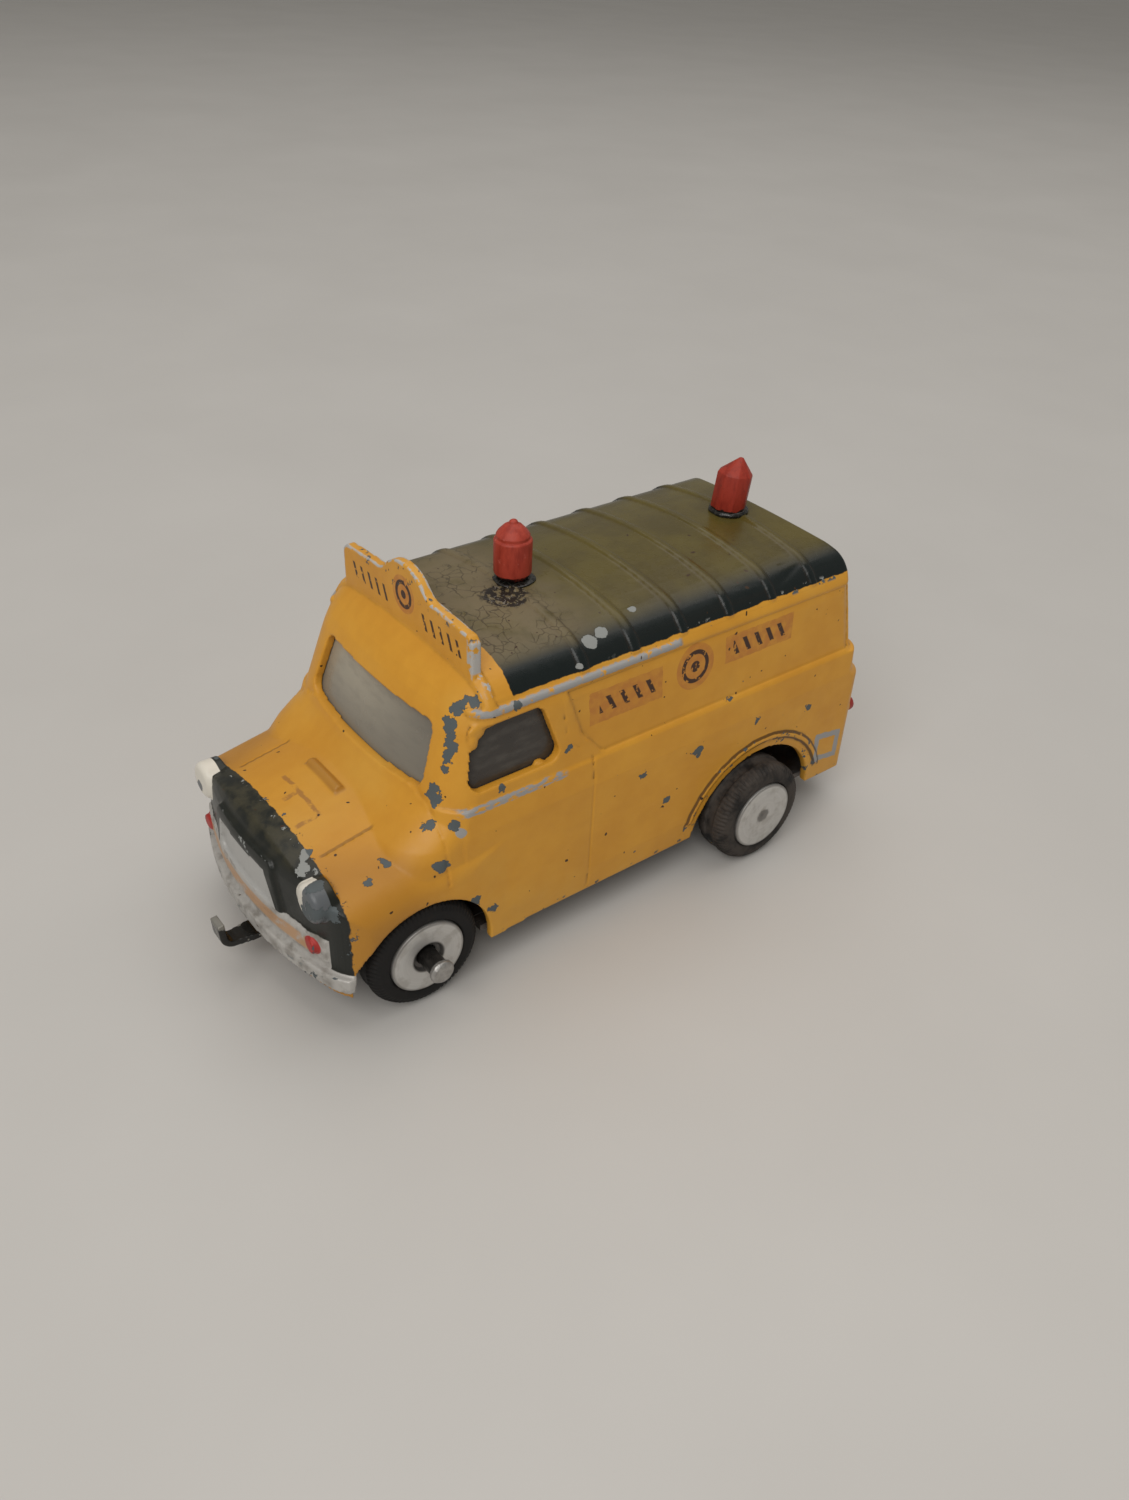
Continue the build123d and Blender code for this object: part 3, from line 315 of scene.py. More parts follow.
# ---- body enamel --------------------------------------------------------------------------------
YELLOW = (0.72, 0.355, 0.036)
YELLOW_DEEP = (0.61, 0.275, 0.024)
YELLOW_WORN = (0.70, 0.42, 0.085)
YELLOW_SHADE = (0.40, 0.175, 0.018)
FILM = (0.52, 0.20, 0.032)
MARK = (0.045, 0.018, 0.010)
# The roof green is painted in two tones: a lit olive for the top and a near-black shade for the sides.
GREEN_LIT_TOP = (0.108, 0.083, 0.017)
GREEN_LIT_MOTTLE = (0.082, 0.062, 0.015)
GREEN_SHADED_SIDE = (0.004, 0.0085, 0.0085)
ROOF_DUST = (0.185, 0.145, 0.085)
ROOF_CRACK = (0.020, 0.013, 0.007)
ROOF_SCAB = (0.006, 0.004, 0.003)
# ROOF_GLINT is a painted highlight.
ROOF_GLINT = (0.30, 0.28, 0.25)
NOSE_GREEN = (0.0095, 0.0115, 0.0090)
NOSE_HAZE = (0.050, 0.045, 0.026)
GRILLE = (0.47, 0.465, 0.45)
SILVER = (0.47, 0.455, 0.43)
SILVER_DULL = (0.27, 0.25, 0.225)
SILVER_LINE = (0.33, 0.325, 0.32)
SIGN_METAL = (0.46, 0.45, 0.43)
RUBBED = (0.52, 0.28, 0.12)
LAMP_CREAM = (0.72, 0.68, 0.60)
LAMP_BARE = (0.115, 0.125, 0.135)
FLASHER_RED = (0.42, 0.035, 0.03)
TAIL_RED = (0.35, 0.03, 0.025)
DIRT_AND_SHADE = (0.045, 0.020, 0.007)
SCOOP_STAIN_AND_SHADE = (0.24, 0.10, 0.025)
BADGE_STAIN = (0.30, 0.13, 0.035)
PRIMER = (0.088, 0.105, 0.112)
PALE_CHIP = (0.27, 0.28, 0.27)

# Paint knocked off down to the primer: distance from the middle, y, z and radius, in millimetres.
CHIPS = (
    (14.1, -17.8, 35.6, 0.6), (13.4, -18.5, 35.2, 0.6), (13.0, -19.2, 34.6, 0.7), (13.0, -20.0, 33.2, 0.7),
    (13.3, -20.3, 32.5, 0.7), (13.7, -20.4, 31.8, 0.7), (14.0, -20.5, 31.0, 0.8), (14.0, -20.8, 30.2, 0.7),
    (14.0, -21.2, 29.4, 0.6), (14.1, -21.4, 28.6, 0.4), (13.7, -22.5, 26.2, 0.6), (14.0, -22.8, 25.3, 0.9),
    (14.9, -23.9, 22.8, 0.7), (16.7, -22.0, 22.9, 0.5), (17.4, -24.2, 18.9, 0.95), (14.1, -28.8, 19.2, 0.6),
    (14.7, -31.5, 18.4, 0.5), (17.9, -20.1, 12.3, 0.7), (17.7, -17.6, 9.8, 0.5), (16.9, -16.0, 25.4, 0.5),
    (16.8, -7.0, 27.1, 0.5), (16.1, -13.5, 34.4, 0.6), (13.4, -2.3, 37.2, 0.85), (12.9, -0.3, 37.5, 0.85),
    (11.6, 5.2, 38.1, 0.5), (15.2, -5.0, 35.9, 0.4), (17.6, 12.3, 19.2, 0.8), (17.6, 3.7, 19.2, 0.4),
    (17.6, 7.9, 14.0, 0.45), (17.6, 22.2, 19.8, 0.4), (17.6, 31.5, 18.3, 0.5), (13.0, -36.6, 18.9, 0.9),
    (15.3, -36.2, 16.6, 0.9), (14.3, -37.4, 17.0, 1.1), (12.9, -37.9, 15.9, 0.9), (13.6, -37.8, 17.2, 0.8),
    (8.5, -35.4, 19.6, 0.7), (9.7, -36.4, 19.1, 0.7), (17.1, 17.1, 24.5, 0.35), (16.9, -33.0, 12.6, 0.5),
)


class Zones:
    """Where each coat of the body enamel lies."""

    def __init__(self, paint):
        wander = paint.wobbled(paint.y, 0.30, 0.8)
        self.height = paint.wobbled(paint.z, 0.22, 0.7)
        self.roof = paint.both(paint.above(self.height, 35.35, 0.12), paint.above(wander, -13.7, 0.12))
        # top of the roof: the green is painted lighter here as lit, and the dust lies here
        self.top = paint.above(paint.z, 37.8, 1.4)
        self.front = paint.both(paint.below(wander, -35.0, 0.12), paint.above(paint.z, 6.2))
        half_grille = paint.minus(6.7, paint.times(paint.minus(paint.z, 12.6), 0.34))
        self.grille = paint.both(self.front, paint.between(paint.z, 12.2, 17.1),
                                 paint.below(paint.minus(paint.side, half_grille), 0.2))
        self.band = paint.both(paint.below(paint.y, -34.0), paint.between(self.height, 8.2, 12.5),
                               paint.below(paint.side, 14.6))
        bumper = paint.both(paint.below(paint.y, -33.2), paint.between(paint.z, 6.35, 8.5))
        self.face = paint.either(self.band, bumper)
        self.sign = paint.between(paint.y, -18.0, -15.4)
        self.arch = paint.wobbled(paint.distance((paint.y, 23.75), (paint.z, 4.25)), 0.12, 0.8)


def yellow_coat(paint):
    """Yellow, uneven where the brush left it thin or thick, with painted shade over the front wings and the
    bonnet.
    """
    cloud = paint.above(paint.grain(0.11, 4, 0.55), 0.50, 0.5)
    strokes = paint.above(paint.grain(0.55, 3, 0.5, paint.stretched(1.3, 0.7, 1.0)), 0.50, 0.6)
    uneven = paint.plus(paint.times(cloud, 0.6), paint.times(strokes, 0.3))
    colour = paint.blend(YELLOW_DEEP, YELLOW, uneven)
    colour = paint.blend(colour, YELLOW_WORN, paint.above(paint.grain(0.07, 4), 0.60, 0.25), 0.30)
    # painted shade: the lower front wings and the bonnet take the shaded yellow
    wing = paint.both(paint.below(paint.y, -26.0, 7.0), paint.below(paint.z, 19.6, 2.0),
                      paint.above(paint.side, 9.0, 3.0))
    bonnet = paint.both(paint.below(paint.y, -24.5, 6.0), paint.above(paint.z, 18.5, 2.0))
    colour = paint.blend(colour, YELLOW_SHADE, wing, 0.75)
    return paint.blend(colour, YELLOW_SHADE, bonnet, 0.25)


def dashes(paint, along, lean, rate, low):
    """Slanted strokes along a coordinate, rate of them per millimetre."""
    slant = paint.compute("FRACT", paint.times(paint.plus(along, paint.times(paint.z, lean)), rate))
    return paint.between(slant, low, 0.60, 0.08)


def side_marks(paint):
    """Plain slanted dashes and a ring on tinted film, on both sides, in place of lettering."""
    y = paint.wobbled(paint.y, 0.25, 0.9)
    z = paint.wobbled(paint.z, 0.20, 1.1)
    on_side = paint.above(paint.side, 15.0)
    ring = paint.distance((paint.y, 11.6), (paint.z, 30.7))
    film = paint.either(paint.patch((y, -4.0, 6.6), (z, 28.4, 32.4)),
                        paint.patch((y, 16.4, 27.6), (z, 29.4, 32.9)), paint.below(ring, 2.9))
    rows = paint.either(paint.patch((paint.y, -2.6, 5.6), (paint.z, 29.5, 31.4)),
                        paint.patch((paint.y, 17.6, 26.6), (paint.z, 30.2, 32.1)))
    badge = paint.either(paint.between(ring, 1.55, 2.1), paint.below(ring, 0.7))
    strokes = paint.both(rows, dashes(paint, paint.y, 0.5, 0.52, 0.24))
    worn = paint.above(paint.grain(1.6, 2), 0.40, 0.1)
    return paint.both(on_side, film), paint.both(on_side, paint.either(strokes, badge), worn)


def sign_marks(paint):
    """The same dashes and ring on the front of the headboard."""
    on_front = paint.both(paint.between(paint.y, -18.2, -17.0), paint.above(paint.z, 37.6))
    ring = paint.distance((paint.x, 0.0), (paint.z, 41.3))
    rows = paint.patch((paint.side, 3.4, 11.2), (paint.z, 38.9, 40.7))
    badge = paint.either(paint.between(ring, 1.15, 1.65), paint.below(ring, 0.5))
    strokes = paint.both(rows, dashes(paint, paint.x, 0.4, 0.62, 0.30))
    worn = paint.above(paint.grain(1.6, 2), 0.38, 0.1)
    film = paint.both(on_front, paint.below(ring, 2.2))
    return film, paint.both(on_front, paint.either(strokes, badge), worn)


def marked(paint, colour):
    """Adds the film, soiled in places, and the marks on it."""
    side_film, side_lines = side_marks(paint)
    sign_film, sign_lines = sign_marks(paint)
    soil = paint.blend(0.45, 0.95, paint.above(paint.grain(0.8, 3), 0.48, 0.3))
    colour = paint.blend(colour, FILM, paint.times(paint.either(side_film, sign_film), soil))
    return paint.blend(colour, MARK, paint.either(side_lines, sign_lines))


def green_coat(paint, zones):
    """Roof green: painted near black at the sides as shade and painted lighter olive on top where light falls
    on it, dusty and cracked near the front beacon, with painted glints on the broken patch.

    Returns the colour, where it is dusty and where it is broken.
    """
    mottle = paint.above(paint.grain(0.16, 5, 0.6), 0.50, 0.3)
    # painted light and shade: lighter olive on the top as if lit, near black on the sides as shade
    green = paint.blend(GREEN_SHADED_SIDE, paint.blend(GREEN_LIT_TOP, GREEN_LIT_MOTTLE, mottle), zones.top)
    dusty = paint.both(paint.above(paint.grain(0.20, 5, 0.65), 0.40, 0.3), paint.below(paint.y, -1.0, 9.0),
                       zones.top)
    green = paint.blend(green, ROOF_DUST, dusty, 0.75)
    bent = paint.vector("ADD", paint.place, paint.vector("SCALE", paint.cloud_colour(0.5), scale=1.6))
    crackle = paint.both(paint.below(paint.cracks(0.75, bent), 0.035, 0.03), paint.below(paint.y, -2.5, 4.0),
                         zones.roof, paint.above(paint.grain(0.28, 2), 0.47, 0.1), zones.top)
    green = paint.blend(green, ROOF_CRACK, crackle, 0.55)
    smear = paint.wobbled(paint.distance((paint.x, 2.9), (paint.y, -5.9)), 1.1, 0.9)
    smear = paint.both(paint.below(smear, 2.5, 0.5), zones.top)
    scabs = paint.both(smear, paint.above(paint.grain(1.5, 4, 0.6), 0.46, 0.06))
    green = paint.blend(green, ROOF_SCAB, scabs, 0.95)
    # painted highlights: bright glints scattered over the broken patch near the front beacon
    glints = paint.both(smear, paint.below(paint.cracks(1.7), 0.02, 0.02),
                        paint.above(paint.grain(1.3, 2), 0.55, 0.05))
    return paint.blend(green, ROOF_GLINT, glints), dusty, paint.either(crackle, scabs)


def silver_face(paint, colour, zones):
    """Grille panel, band and bumper, with the yellow rubbed through along the band."""
    colour = paint.blend(colour, GRILLE, zones.grille)
    tarnish = paint.blend(SILVER, SILVER_DULL, paint.above(paint.grain(0.6, 4), 0.58, 0.3))
    colour = paint.blend(colour, tarnish, zones.face)
    rubbed = paint.both(zones.band, paint.between(zones.height, 9.8, 11.7, 0.4),
                        paint.above(paint.grain(0.5, 3), 0.40, 0.15), paint.below(paint.side, 12.0))
    return paint.blend(colour, RUBBED, rubbed, 0.80)


def silver_lines(paint):
    """Hand-ruled silver: drip rails, the line under the door window, a dot and a square at the tail."""
    on_side = paint.above(paint.side, 14.6)
    height = paint.wobbled(paint.z, 0.22, 1.4)
    rail = paint.both(paint.between(height, 34.15, 34.95, 0.12), paint.between(paint.y, -19.0, 9.4, 0.6),
                      paint.above(paint.grain(0.9, 3), 0.38, 0.08))
    broken = paint.above(paint.grain(1.1, 2, place=paint.stretched(1, 0.6, 2)), 0.46, 0.12)
    under = paint.both(paint.between(height, 23.6, 24.5, 0.15), paint.between(paint.y, -21.4, -7.6, 0.8),
                       broken)
    dot = paint.disc((paint.y, -21.5), (height, 22.0), radius=0.6)
    y = paint.wobbled(paint.y, 0.15, 1.3)
    lifted = paint.plus(height, paint.times(paint.minus(y, 36.8), 0.18))
    square = paint.both(paint.patch((y, 34.4, 39.4), (lifted, 8.0, 12.5)),
                        paint.invert(paint.patch((y, 35.3, 38.5), (lifted, 8.9, 11.6))))
    return paint.both(on_side, paint.either(rail, under, dot, square))


def lamp_paint(paint, colour):
    """Cream headlamps, one of them half bare, red flashers and red tail lamps."""
    lamp = paint.both(paint.disc((paint.side, 12.8), (paint.z, 17.0), radius=2.45),
                      paint.below(paint.y, -36.0))
    left_bare = paint.above(paint.wobbled(paint.x, 0.9, 0.7), 12.3, 0.1)
    right_bare = paint.disc((paint.wobbled(paint.x, 0.5, 0.9), -13.3), (paint.z, 16.2), radius=0.75)
    cream = paint.blend(LAMP_CREAM, LAMP_BARE, paint.either(left_bare, right_bare))
    colour = paint.blend(colour, cream, lamp)
    flasher = paint.both(paint.disc((paint.side, 12.7), (paint.z, 11.1), radius=1.15),
                         paint.below(paint.y, -34.5))
    colour = paint.blend(colour, FLASHER_RED, flasher)
    tail_lamp = paint.both(paint.disc((paint.side, 15.0), (paint.z, 13.5), radius=1.25),
                           paint.above(paint.y, 42.6))
    return paint.blend(colour, TAIL_RED, tail_lamp)


def badge_stain(paint):
    """Broken brown outline that an old badge left on the bonnet."""
    x = paint.wobbled(paint.x, 0.30, 0.9)
    y = paint.wobbled(paint.y, 0.30, 0.9)
    rear = paint.both(paint.between(y, -31.9, -31.4, 0.2), paint.between(x, -3.4, 4.6, 0.4))
    left = paint.both(paint.between(x, 4.5, 5.1, 0.2), paint.between(y, -34.4, -31.4, 0.4))
    middle = paint.both(paint.between(x, -0.1, 0.5, 0.2), paint.between(y, -33.6, -31.6, 0.4))
    broken = paint.above(paint.grain(0.7, 3), 0.40, 0.15)
    return paint.both(paint.either(rear, left, middle), paint.above(paint.z, 19.8), broken)


def grime_and_shade(paint, colour, arch):
    """Dirt with painted shade in concave corners and along the shut lines, brown stains on the bonnet, brown
    wear with painted shade on the scuttle vent, and lines around the arches.
    """
    # painted shade mixed with dirt: concave corners are darkened, more strongly along the flanks
    corner = paint.below(paint.edges(), 0.475, 0.05)
    flank = paint.both(paint.above(paint.y, -23.0), paint.below(paint.y, 41.0))
    colour = paint.blend(colour, DIRT_AND_SHADE, paint.times(corner, paint.blend(0.12, 0.55, flank)))
    # painted shade with dirt along the shut-line grooves of the bonnet and the tail doors
    bonnet_seam = paint.both(paint.between(paint.side, 9.42, 9.78), paint.between(paint.y, -34.2, -27.8, 0.5),
                             paint.above(paint.z, 18.5))
    tail_seam = paint.both(paint.above(paint.y, 41.0), paint.between(paint.z, 8.5, 33.5),
                           paint.either(paint.below(paint.side, 0.18),
                                        paint.between(paint.side, 13.22, 13.58)))
    colour = paint.blend(colour, DIRT_AND_SHADE, paint.either(bonnet_seam, tail_seam), 0.40)
    # brown wear with painted shade on the scuttle vent
    scoop = paint.both(paint.between(paint.y, -29.0, -27.6, 0.3), paint.below(paint.side, 3.6, 0.4),
                       paint.between(paint.z, 21.4, 23.2))
    colour = paint.blend(colour, SCOOP_STAIN_AND_SHADE, scoop, 0.45)
    outline = paint.either(paint.between(arch, 11.55, 11.9, 0.15), paint.between(arch, 12.40, 12.75, 0.15))
    lip = paint.both(outline, paint.above(paint.side, 16.5), paint.above(paint.z, 7.6, 0.5),
                     paint.above(paint.grain(0.5, 3), 0.36, 0.12))
    colour = paint.blend(colour, DIRT_AND_SHADE, lip, 0.85)
    colour = paint.blend(colour, BADGE_STAIN, badge_stain(paint), 0.7)
    return paint.blend(colour, DIRT_AND_SHADE, paint.above(paint.grain(0.9, 1), 0.77, 0.02))


def chipped(paint, zones):
    """Where paint is gone: the placed chips on the left side, and ragged ones where edges get knocked."""
    ragged = paint.swing(paint.blend(2.2, 0.8, zones.roof), 1.1)
    spots = []
    for x, y, z, radius in CHIPS:
        away = paint.distance((paint.side, x), (paint.y, y), (paint.z, z))
        spots.append(paint.below(paint.plus(away, ragged), radius, 0.05))
    placed = paint.both(paint.either(*spots), paint.above(paint.x, 0.0))
    roof_edge = paint.both(paint.between(paint.z, 35.0, 35.7, 0.3), paint.above(paint.y, 2.0, 8.0))
    sill = paint.below(paint.z, 5.7, 0.4)
    sign_top = paint.both(zones.sign, paint.above(paint.z, 41.6, 0.5))
    arch_lip = paint.both(paint.between(zones.arch, 10.0, 12.6), paint.above(paint.side, 16.5))
    nose_edge = paint.between(paint.y, -35.8, -34.3)
    bumper_foot = paint.both(zones.face, paint.below(paint.z, 7.6, 0.4))
    nose_ridge = paint.both(zones.front, paint.above(paint.edges(), 0.53, 0.02))
    knocked = paint.either(roof_edge, sill, sign_top, arch_lip, nose_edge, bumper_foot, nose_ridge)
    loose = paint.above(paint.grain(0.75, 4, 0.6), 0.615, 0.03)
    elsewhere = paint.vector("ADD", paint.place, (40.0, 7.0, 0.0))
    sparse = paint.both(paint.above(paint.grain(0.55, 2, place=elsewhere), 0.77, 0.02),
                        paint.above(paint.y, -12.0), paint.below(paint.z, 38.0))
    return paint.either(placed, paint.both(knocked, loose), sparse)


def bare_sign(paint, zones):
    """Where the headboard's edges and its left end are rubbed to metal."""
    rim = paint.both(zones.sign, paint.above(paint.edges(), 0.525, 0.02), paint.above(paint.z, 36.0))
    end = paint.both(zones.sign, paint.above(paint.x, 12.2, 0.3), paint.above(paint.z, 37.9, 0.3))
    return paint.both(paint.either(rim, end), paint.above(paint.grain(0.7, 3), 0.47, 0.06))


def body_enamel():
    """Brushed enamel: yellow body, green roof, dark nose, silver face and the wear on all of them."""
    paint = Finish("body_enamel")
    zones = Zones(paint)
    lines = silver_lines(paint)
    chip = chipped(paint, zones)

    colour = marked(paint, yellow_coat(paint))
    green, dusty, broken = green_coat(paint, zones)
    colour = paint.blend(colour, green, zones.roof)
    haze = paint.both(paint.above(paint.grain(0.5, 4), 0.50, 0.3), paint.above(paint.z, 19.2, 2.5))
    colour = paint.blend(colour, paint.blend(NOSE_GREEN, NOSE_HAZE, haze), zones.front)
    colour = silver_face(paint, colour, zones)
    colour = paint.blend(colour, SILVER_LINE, lines)
    colour = grime_and_shade(paint, lamp_paint(paint, colour), zones.arch)
    pale = paint.either(zones.roof, paint.both(zones.front, paint.below(paint.side, 11.5)))
    colour = paint.blend(colour, paint.blend(PRIMER, PALE_CHIP, pale), chip)
    colour = paint.blend(colour, SIGN_METAL, bare_sign(paint, zones))

    silver = paint.either(zones.face, zones.grille)
    gloss = paint.blend(0.42, 0.28, zones.roof)
    gloss = paint.blend(gloss, 0.55, paint.both(zones.roof, dusty))
    gloss = paint.blend(gloss, 0.34, zones.front)
    gloss = paint.blend(gloss, 0.45, paint.either(silver, lines))
    gloss = paint.plus(gloss, paint.swing(0.22, 0.8, 4))
    gloss = paint.blend(gloss, 0.60, chip)
    skin = paint.relief(paint.grain(0.6, 3, 0.5, paint.stretched(1.0, 0.75, 1.0)), 0.045, 0.25)
    skin = paint.relief(paint.grain(3.0, 2), 0.02, 0.30, skin)
    skin = paint.relief(paint.invert(broken), 0.06, 0.5, skin)
    skin = paint.relief(paint.invert(chip), 0.10, 0.9, skin)
    return paint.finish(colour, gloss, skin, paint.times(silver, 0.20), Specular_IOR_Level=0.38)


# ---- other finishes -----------------------------------------------------------------------------
def clouded_sheet():
    """Old clear sheet that has gone grey and milky, more so at the front, with the side and rear panes
    painted near black as the shade of the closed interior behind them.
    """
    sheet = Finish("clouded_sheet")
    cloud = sheet.grain(0.10, 5, 0.6)
    front = sheet.both(sheet.below(sheet.y, -17.0, 6.0), sheet.below(sheet.side, 14.0, 1.5))
    milk = sheet.both(front, sheet.above(sheet.z, 27.5, 8.0), sheet.below(sheet.x, 3.0, 16.0))
    # painted shade: the side and rear panes are near black for the dark interior behind them
    side = sheet.blend((0.030, 0.026, 0.022), (0.055, 0.048, 0.042), cloud)
    colour = sheet.blend(side, (0.205, 0.190, 0.158), front)
    colour = sheet.blend(colour, (0.46, 0.42, 0.33), milk, 0.75)
    wipe = sheet.above(sheet.grain(0.9, 4, 0.6, sheet.stretched(0.35, 0.35, 1.2)), 0.56, 0.3)
    colour = sheet.blend(colour, (0.15, 0.14, 0.12), wipe, 0.25)
    rough = sheet.plus(0.14, sheet.times(sheet.grain(0.3, 4), 0.22))
    skin = sheet.relief(sheet.grain(0.12, 2), 0.25, 0.4)
    return sheet.finish(colour, rough, skin, Specular_IOR_Level=0.45)


def turned_metal(name, axle):
    """Lathe-turned aluminium with fine rings about the axle, stains, a rim darkened next to the tyre, and
    painted shade in the recess around the rod and in the centre mark.
    """
    metal = Finish(name)
    radius = metal.distance((metal.y, axle.y / MM), (metal.z, axle.z / MM))
    along = metal.tree.nodes.new("ShaderNodeCombineXYZ")
    metal.feed(along.inputs[0], radius)
    metal.feed(along.inputs[1], metal.times(metal.x, 0.15))
    rings = metal.grain(5.5, 2, 0.7, along.outputs[0])
    stain = metal.grain(0.55, 4)
    colour = metal.blend((0.55, 0.54, 0.52), (0.66, 0.65, 0.63), rings)
    colour = metal.blend(colour, (0.40, 0.38, 0.35), metal.above(stain, 0.56, 0.2), 0.5)
    # darker at the rim, next to the tyre
    colour = metal.blend(colour, (0.10, 0.09, 0.08), metal.above(radius, 4.35, 0.35), 0.6)
    # painted shade in the recess around the rod
    recess = metal.both(metal.below(radius, 2.05, 0.3), metal.below(metal.side, 17.9, 0.3))
    colour = metal.blend(colour, (0.05, 0.045, 0.04), recess, 0.85)
    # painted shade in the centre mark
    dimple = metal.both(metal.below(metal.wobbled(radius, 0.25, 1.2), 0.95, 0.4),
                        metal.above(metal.side, 20.4))
    colour = metal.blend(colour, (0.15, 0.14, 0.13), dimple, 0.8)
    rough = metal.plus(0.42, metal.times(stain, 0.20))
    skin = metal.relief(rings, 0.020, 0.40)
    skin = metal.relief(metal.grain(2.2, 3), 0.02, 0.35, skin)
    return metal.finish(colour, rough, skin, 0.65)


def rod_steel():
    """Dark oily rod with a bright hammered end."""
    steel = Finish("rod_steel")
    bright = steel.either(steel.above(steel.side, 20.0, 0.25), steel.below(steel.x, -17.9, 0.2))
    spots = steel.grain(1.6, 4)
    dark = steel.blend((0.022, 0.020, 0.018), (0.09, 0.085, 0.08), spots)
    light = steel.blend((0.20, 0.19, 0.18), (0.62, 0.61, 0.59), spots)
    skin = steel.relief(steel.grain(2.4, 4), 0.12, 0.8)
    return steel.finish(steel.blend(dark, light, bright), steel.blend(0.35, 0.50, spots), skin, 0.9)


def tyre_rubber():
    """Black rubber, dusty grey on the shoulders, with scraps of yellow paint on the tread."""
    rubber = Finish("tyre_rubber")
    dust = rubber.grain(0.35, 5, 0.65)
    behind = rubber.above(rubber.y, 0.0, 4.0)
    grey = rubber.times(rubber.above(dust, 0.47, 0.3), rubber.blend(0.10, 0.9, behind))
    colour = rubber.blend((0.0055, 0.0055, 0.0058), (0.062, 0.052, 0.045), grey)
    colour = rubber.blend(colour, (0.040, 0.035, 0.031), rubber.above(rubber.edges(), 0.56, 0.06), 0.35)
    scraps = rubber.both(rubber.above(rubber.grain(0.8, 3), 0.70, 0.03), behind,
                         rubber.below(rubber.z, 3.0, 1.0))
    colour = rubber.blend(colour, (0.40, 0.20, 0.03), scraps)
    rough = rubber.plus(0.50, rubber.times(dust, 0.35))
    skin = rubber.relief(rubber.grain(2.2, 3), 0.03, 0.4)
    return rubber.finish(colour, rough, skin, Specular_IOR_Level=0.28)


def beacon_paint(name, base, worn_through):
    """Red paint over wood or plastic, brushed on by hand and sooty at the foot."""
    paint = Finish(name)
    thin = (base[0] * 0.72, base[1] * 0.6, base[2] * 0.6)
    strokes = paint.grain(0.8, 4, 0.6, paint.stretched(1.5, 1.5, 0.5))
    colour = paint.blend(thin, base, paint.above(strokes, 0.45, 0.3))
    colour = paint.blend(colour, worn_through, paint.above(paint.grain(1.1, 4), 0.66, 0.05), 0.6)
    soot = paint.both(paint.below(paint.wobbled(paint.z, 0.4, 1.2), 40.0, 0.15),
                      paint.above(paint.grain(1.1, 3), 0.42, 0.1))
    colour = paint.blend(colour, (0.02, 0.008, 0.006), soot)
    rough = paint.plus(0.42, paint.times(strokes, 0.20))
    skin = paint.relief(strokes, 0.10, 0.6)
    skin = paint.relief(paint.grain(2.5, 3), 0.05, 0.4, skin)
    return paint.finish(colour, rough, skin, Specular_IOR_Level=0.35)


def black_cement():
    """Glossy black adhesive with bright crazing."""
    cement = Finish("black_cement")
    craze = cement.below(cement.cracks(1.1), 0.05, 0.05)
    colour = cement.blend((0.006, 0.006, 0.005), (0.10, 0.095, 0.08), craze, 0.22)
    skin = cement.relief(cement.grain(0.9, 3), 0.20, 0.8)
    return cement.finish(colour, cement.blend(0.12, 0.40, cement.grain(0.8, 3)), skin)


def strip_paint():
    """Gloss black paint on a steel strip, rubbed bright at its tip."""
    strip = Finish("strip_paint")
    tip = strip.both(strip.above(strip.z, 7.3, 0.4), strip.above(strip.grain(0.9, 3), 0.42, 0.08))
    worn = strip.either(tip, strip.above(strip.grain(0.9, 4), 0.63, 0.03))
    colour = strip.blend((0.010, 0.010, 0.009), (0.30, 0.29, 0.26), worn)
    skin = strip.relief(strip.grain(1.2, 3), 0.10, 0.6)
    return strip.finish(colour, strip.blend(0.20, 0.50, worn), skin, strip.times(worn, 0.7))


def base_tin():
    """Dull tinplate with brown staining."""
    tin = Finish("base_tin")
    stain = tin.grain(0.12, 5, 0.6)
    colour = tin.blend((0.24, 0.235, 0.225), (0.075, 0.055, 0.04), tin.above(stain, 0.48, 0.25))
    scratch = tin.above(tin.grain(0.6, 2, place=tin.stretched(5.0, 0.25, 1.0)), 0.66, 0.03)
    colour = tin.blend(colour, (0.40, 0.39, 0.37), scratch)
    return tin.finish(colour, tin.blend(0.38, 0.62, stain), tin.relief(tin.grain(0.8, 4), 0.05, 0.4), 0.75)


# ---- making pieces ------------------------------------------------------------------------------
def piece_from(shape, name, material, smooth=True, crease=40):
    """Object from a bmesh, smooth apart from the edges sharper than crease degrees."""
    bmesh.ops.recalc_face_normals(shape, faces=shape.faces)
    for face in shape.faces:
        face.smooth = smooth
    for edge in shape.edges:
        edge.smooth = edge.calc_face_angle(0.0) < math.radians(crease)
    mesh = bpy.data.meshes.new(name)
    shape.to_mesh(mesh)
    shape.free()
    mesh.materials.append(material)
    piece = bpy.data.objects.new(name, mesh)
    bpy.context.scene.collection.objects.link(piece)
    return piece


def dress(piece, body, slot, *nodes):
    """Hangs the piece on the body's empty and hides the CAD nodes it stands for; slot is not used."""
    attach(piece, body)
    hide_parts(*nodes)


def copy_of(node):
    """A CAD node's shape as a bmesh with its corners merged."""
    shape = bmesh.new()
    shape.from_mesh(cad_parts[node].data)
    bmesh.ops.remove_doubles(shape, verts=shape.verts, dist=0.0005 * MM)
    return shape


def with_modifiers(piece, *steps):
    """Adds modifiers as (type, settings) and makes their result the piece's own mesh."""
    for kind, settings in steps:
        modifier = piece.modifiers.new(kind.lower(), kind)
        for name, value in settings.items():
            setattr(modifier, name, value)
    seen = piece.evaluated_get(bpy.context.evaluated_depsgraph_get())
    mesh = bpy.data.meshes.new_from_object(seen)
    piece.modifiers.clear()
    piece.data = mesh


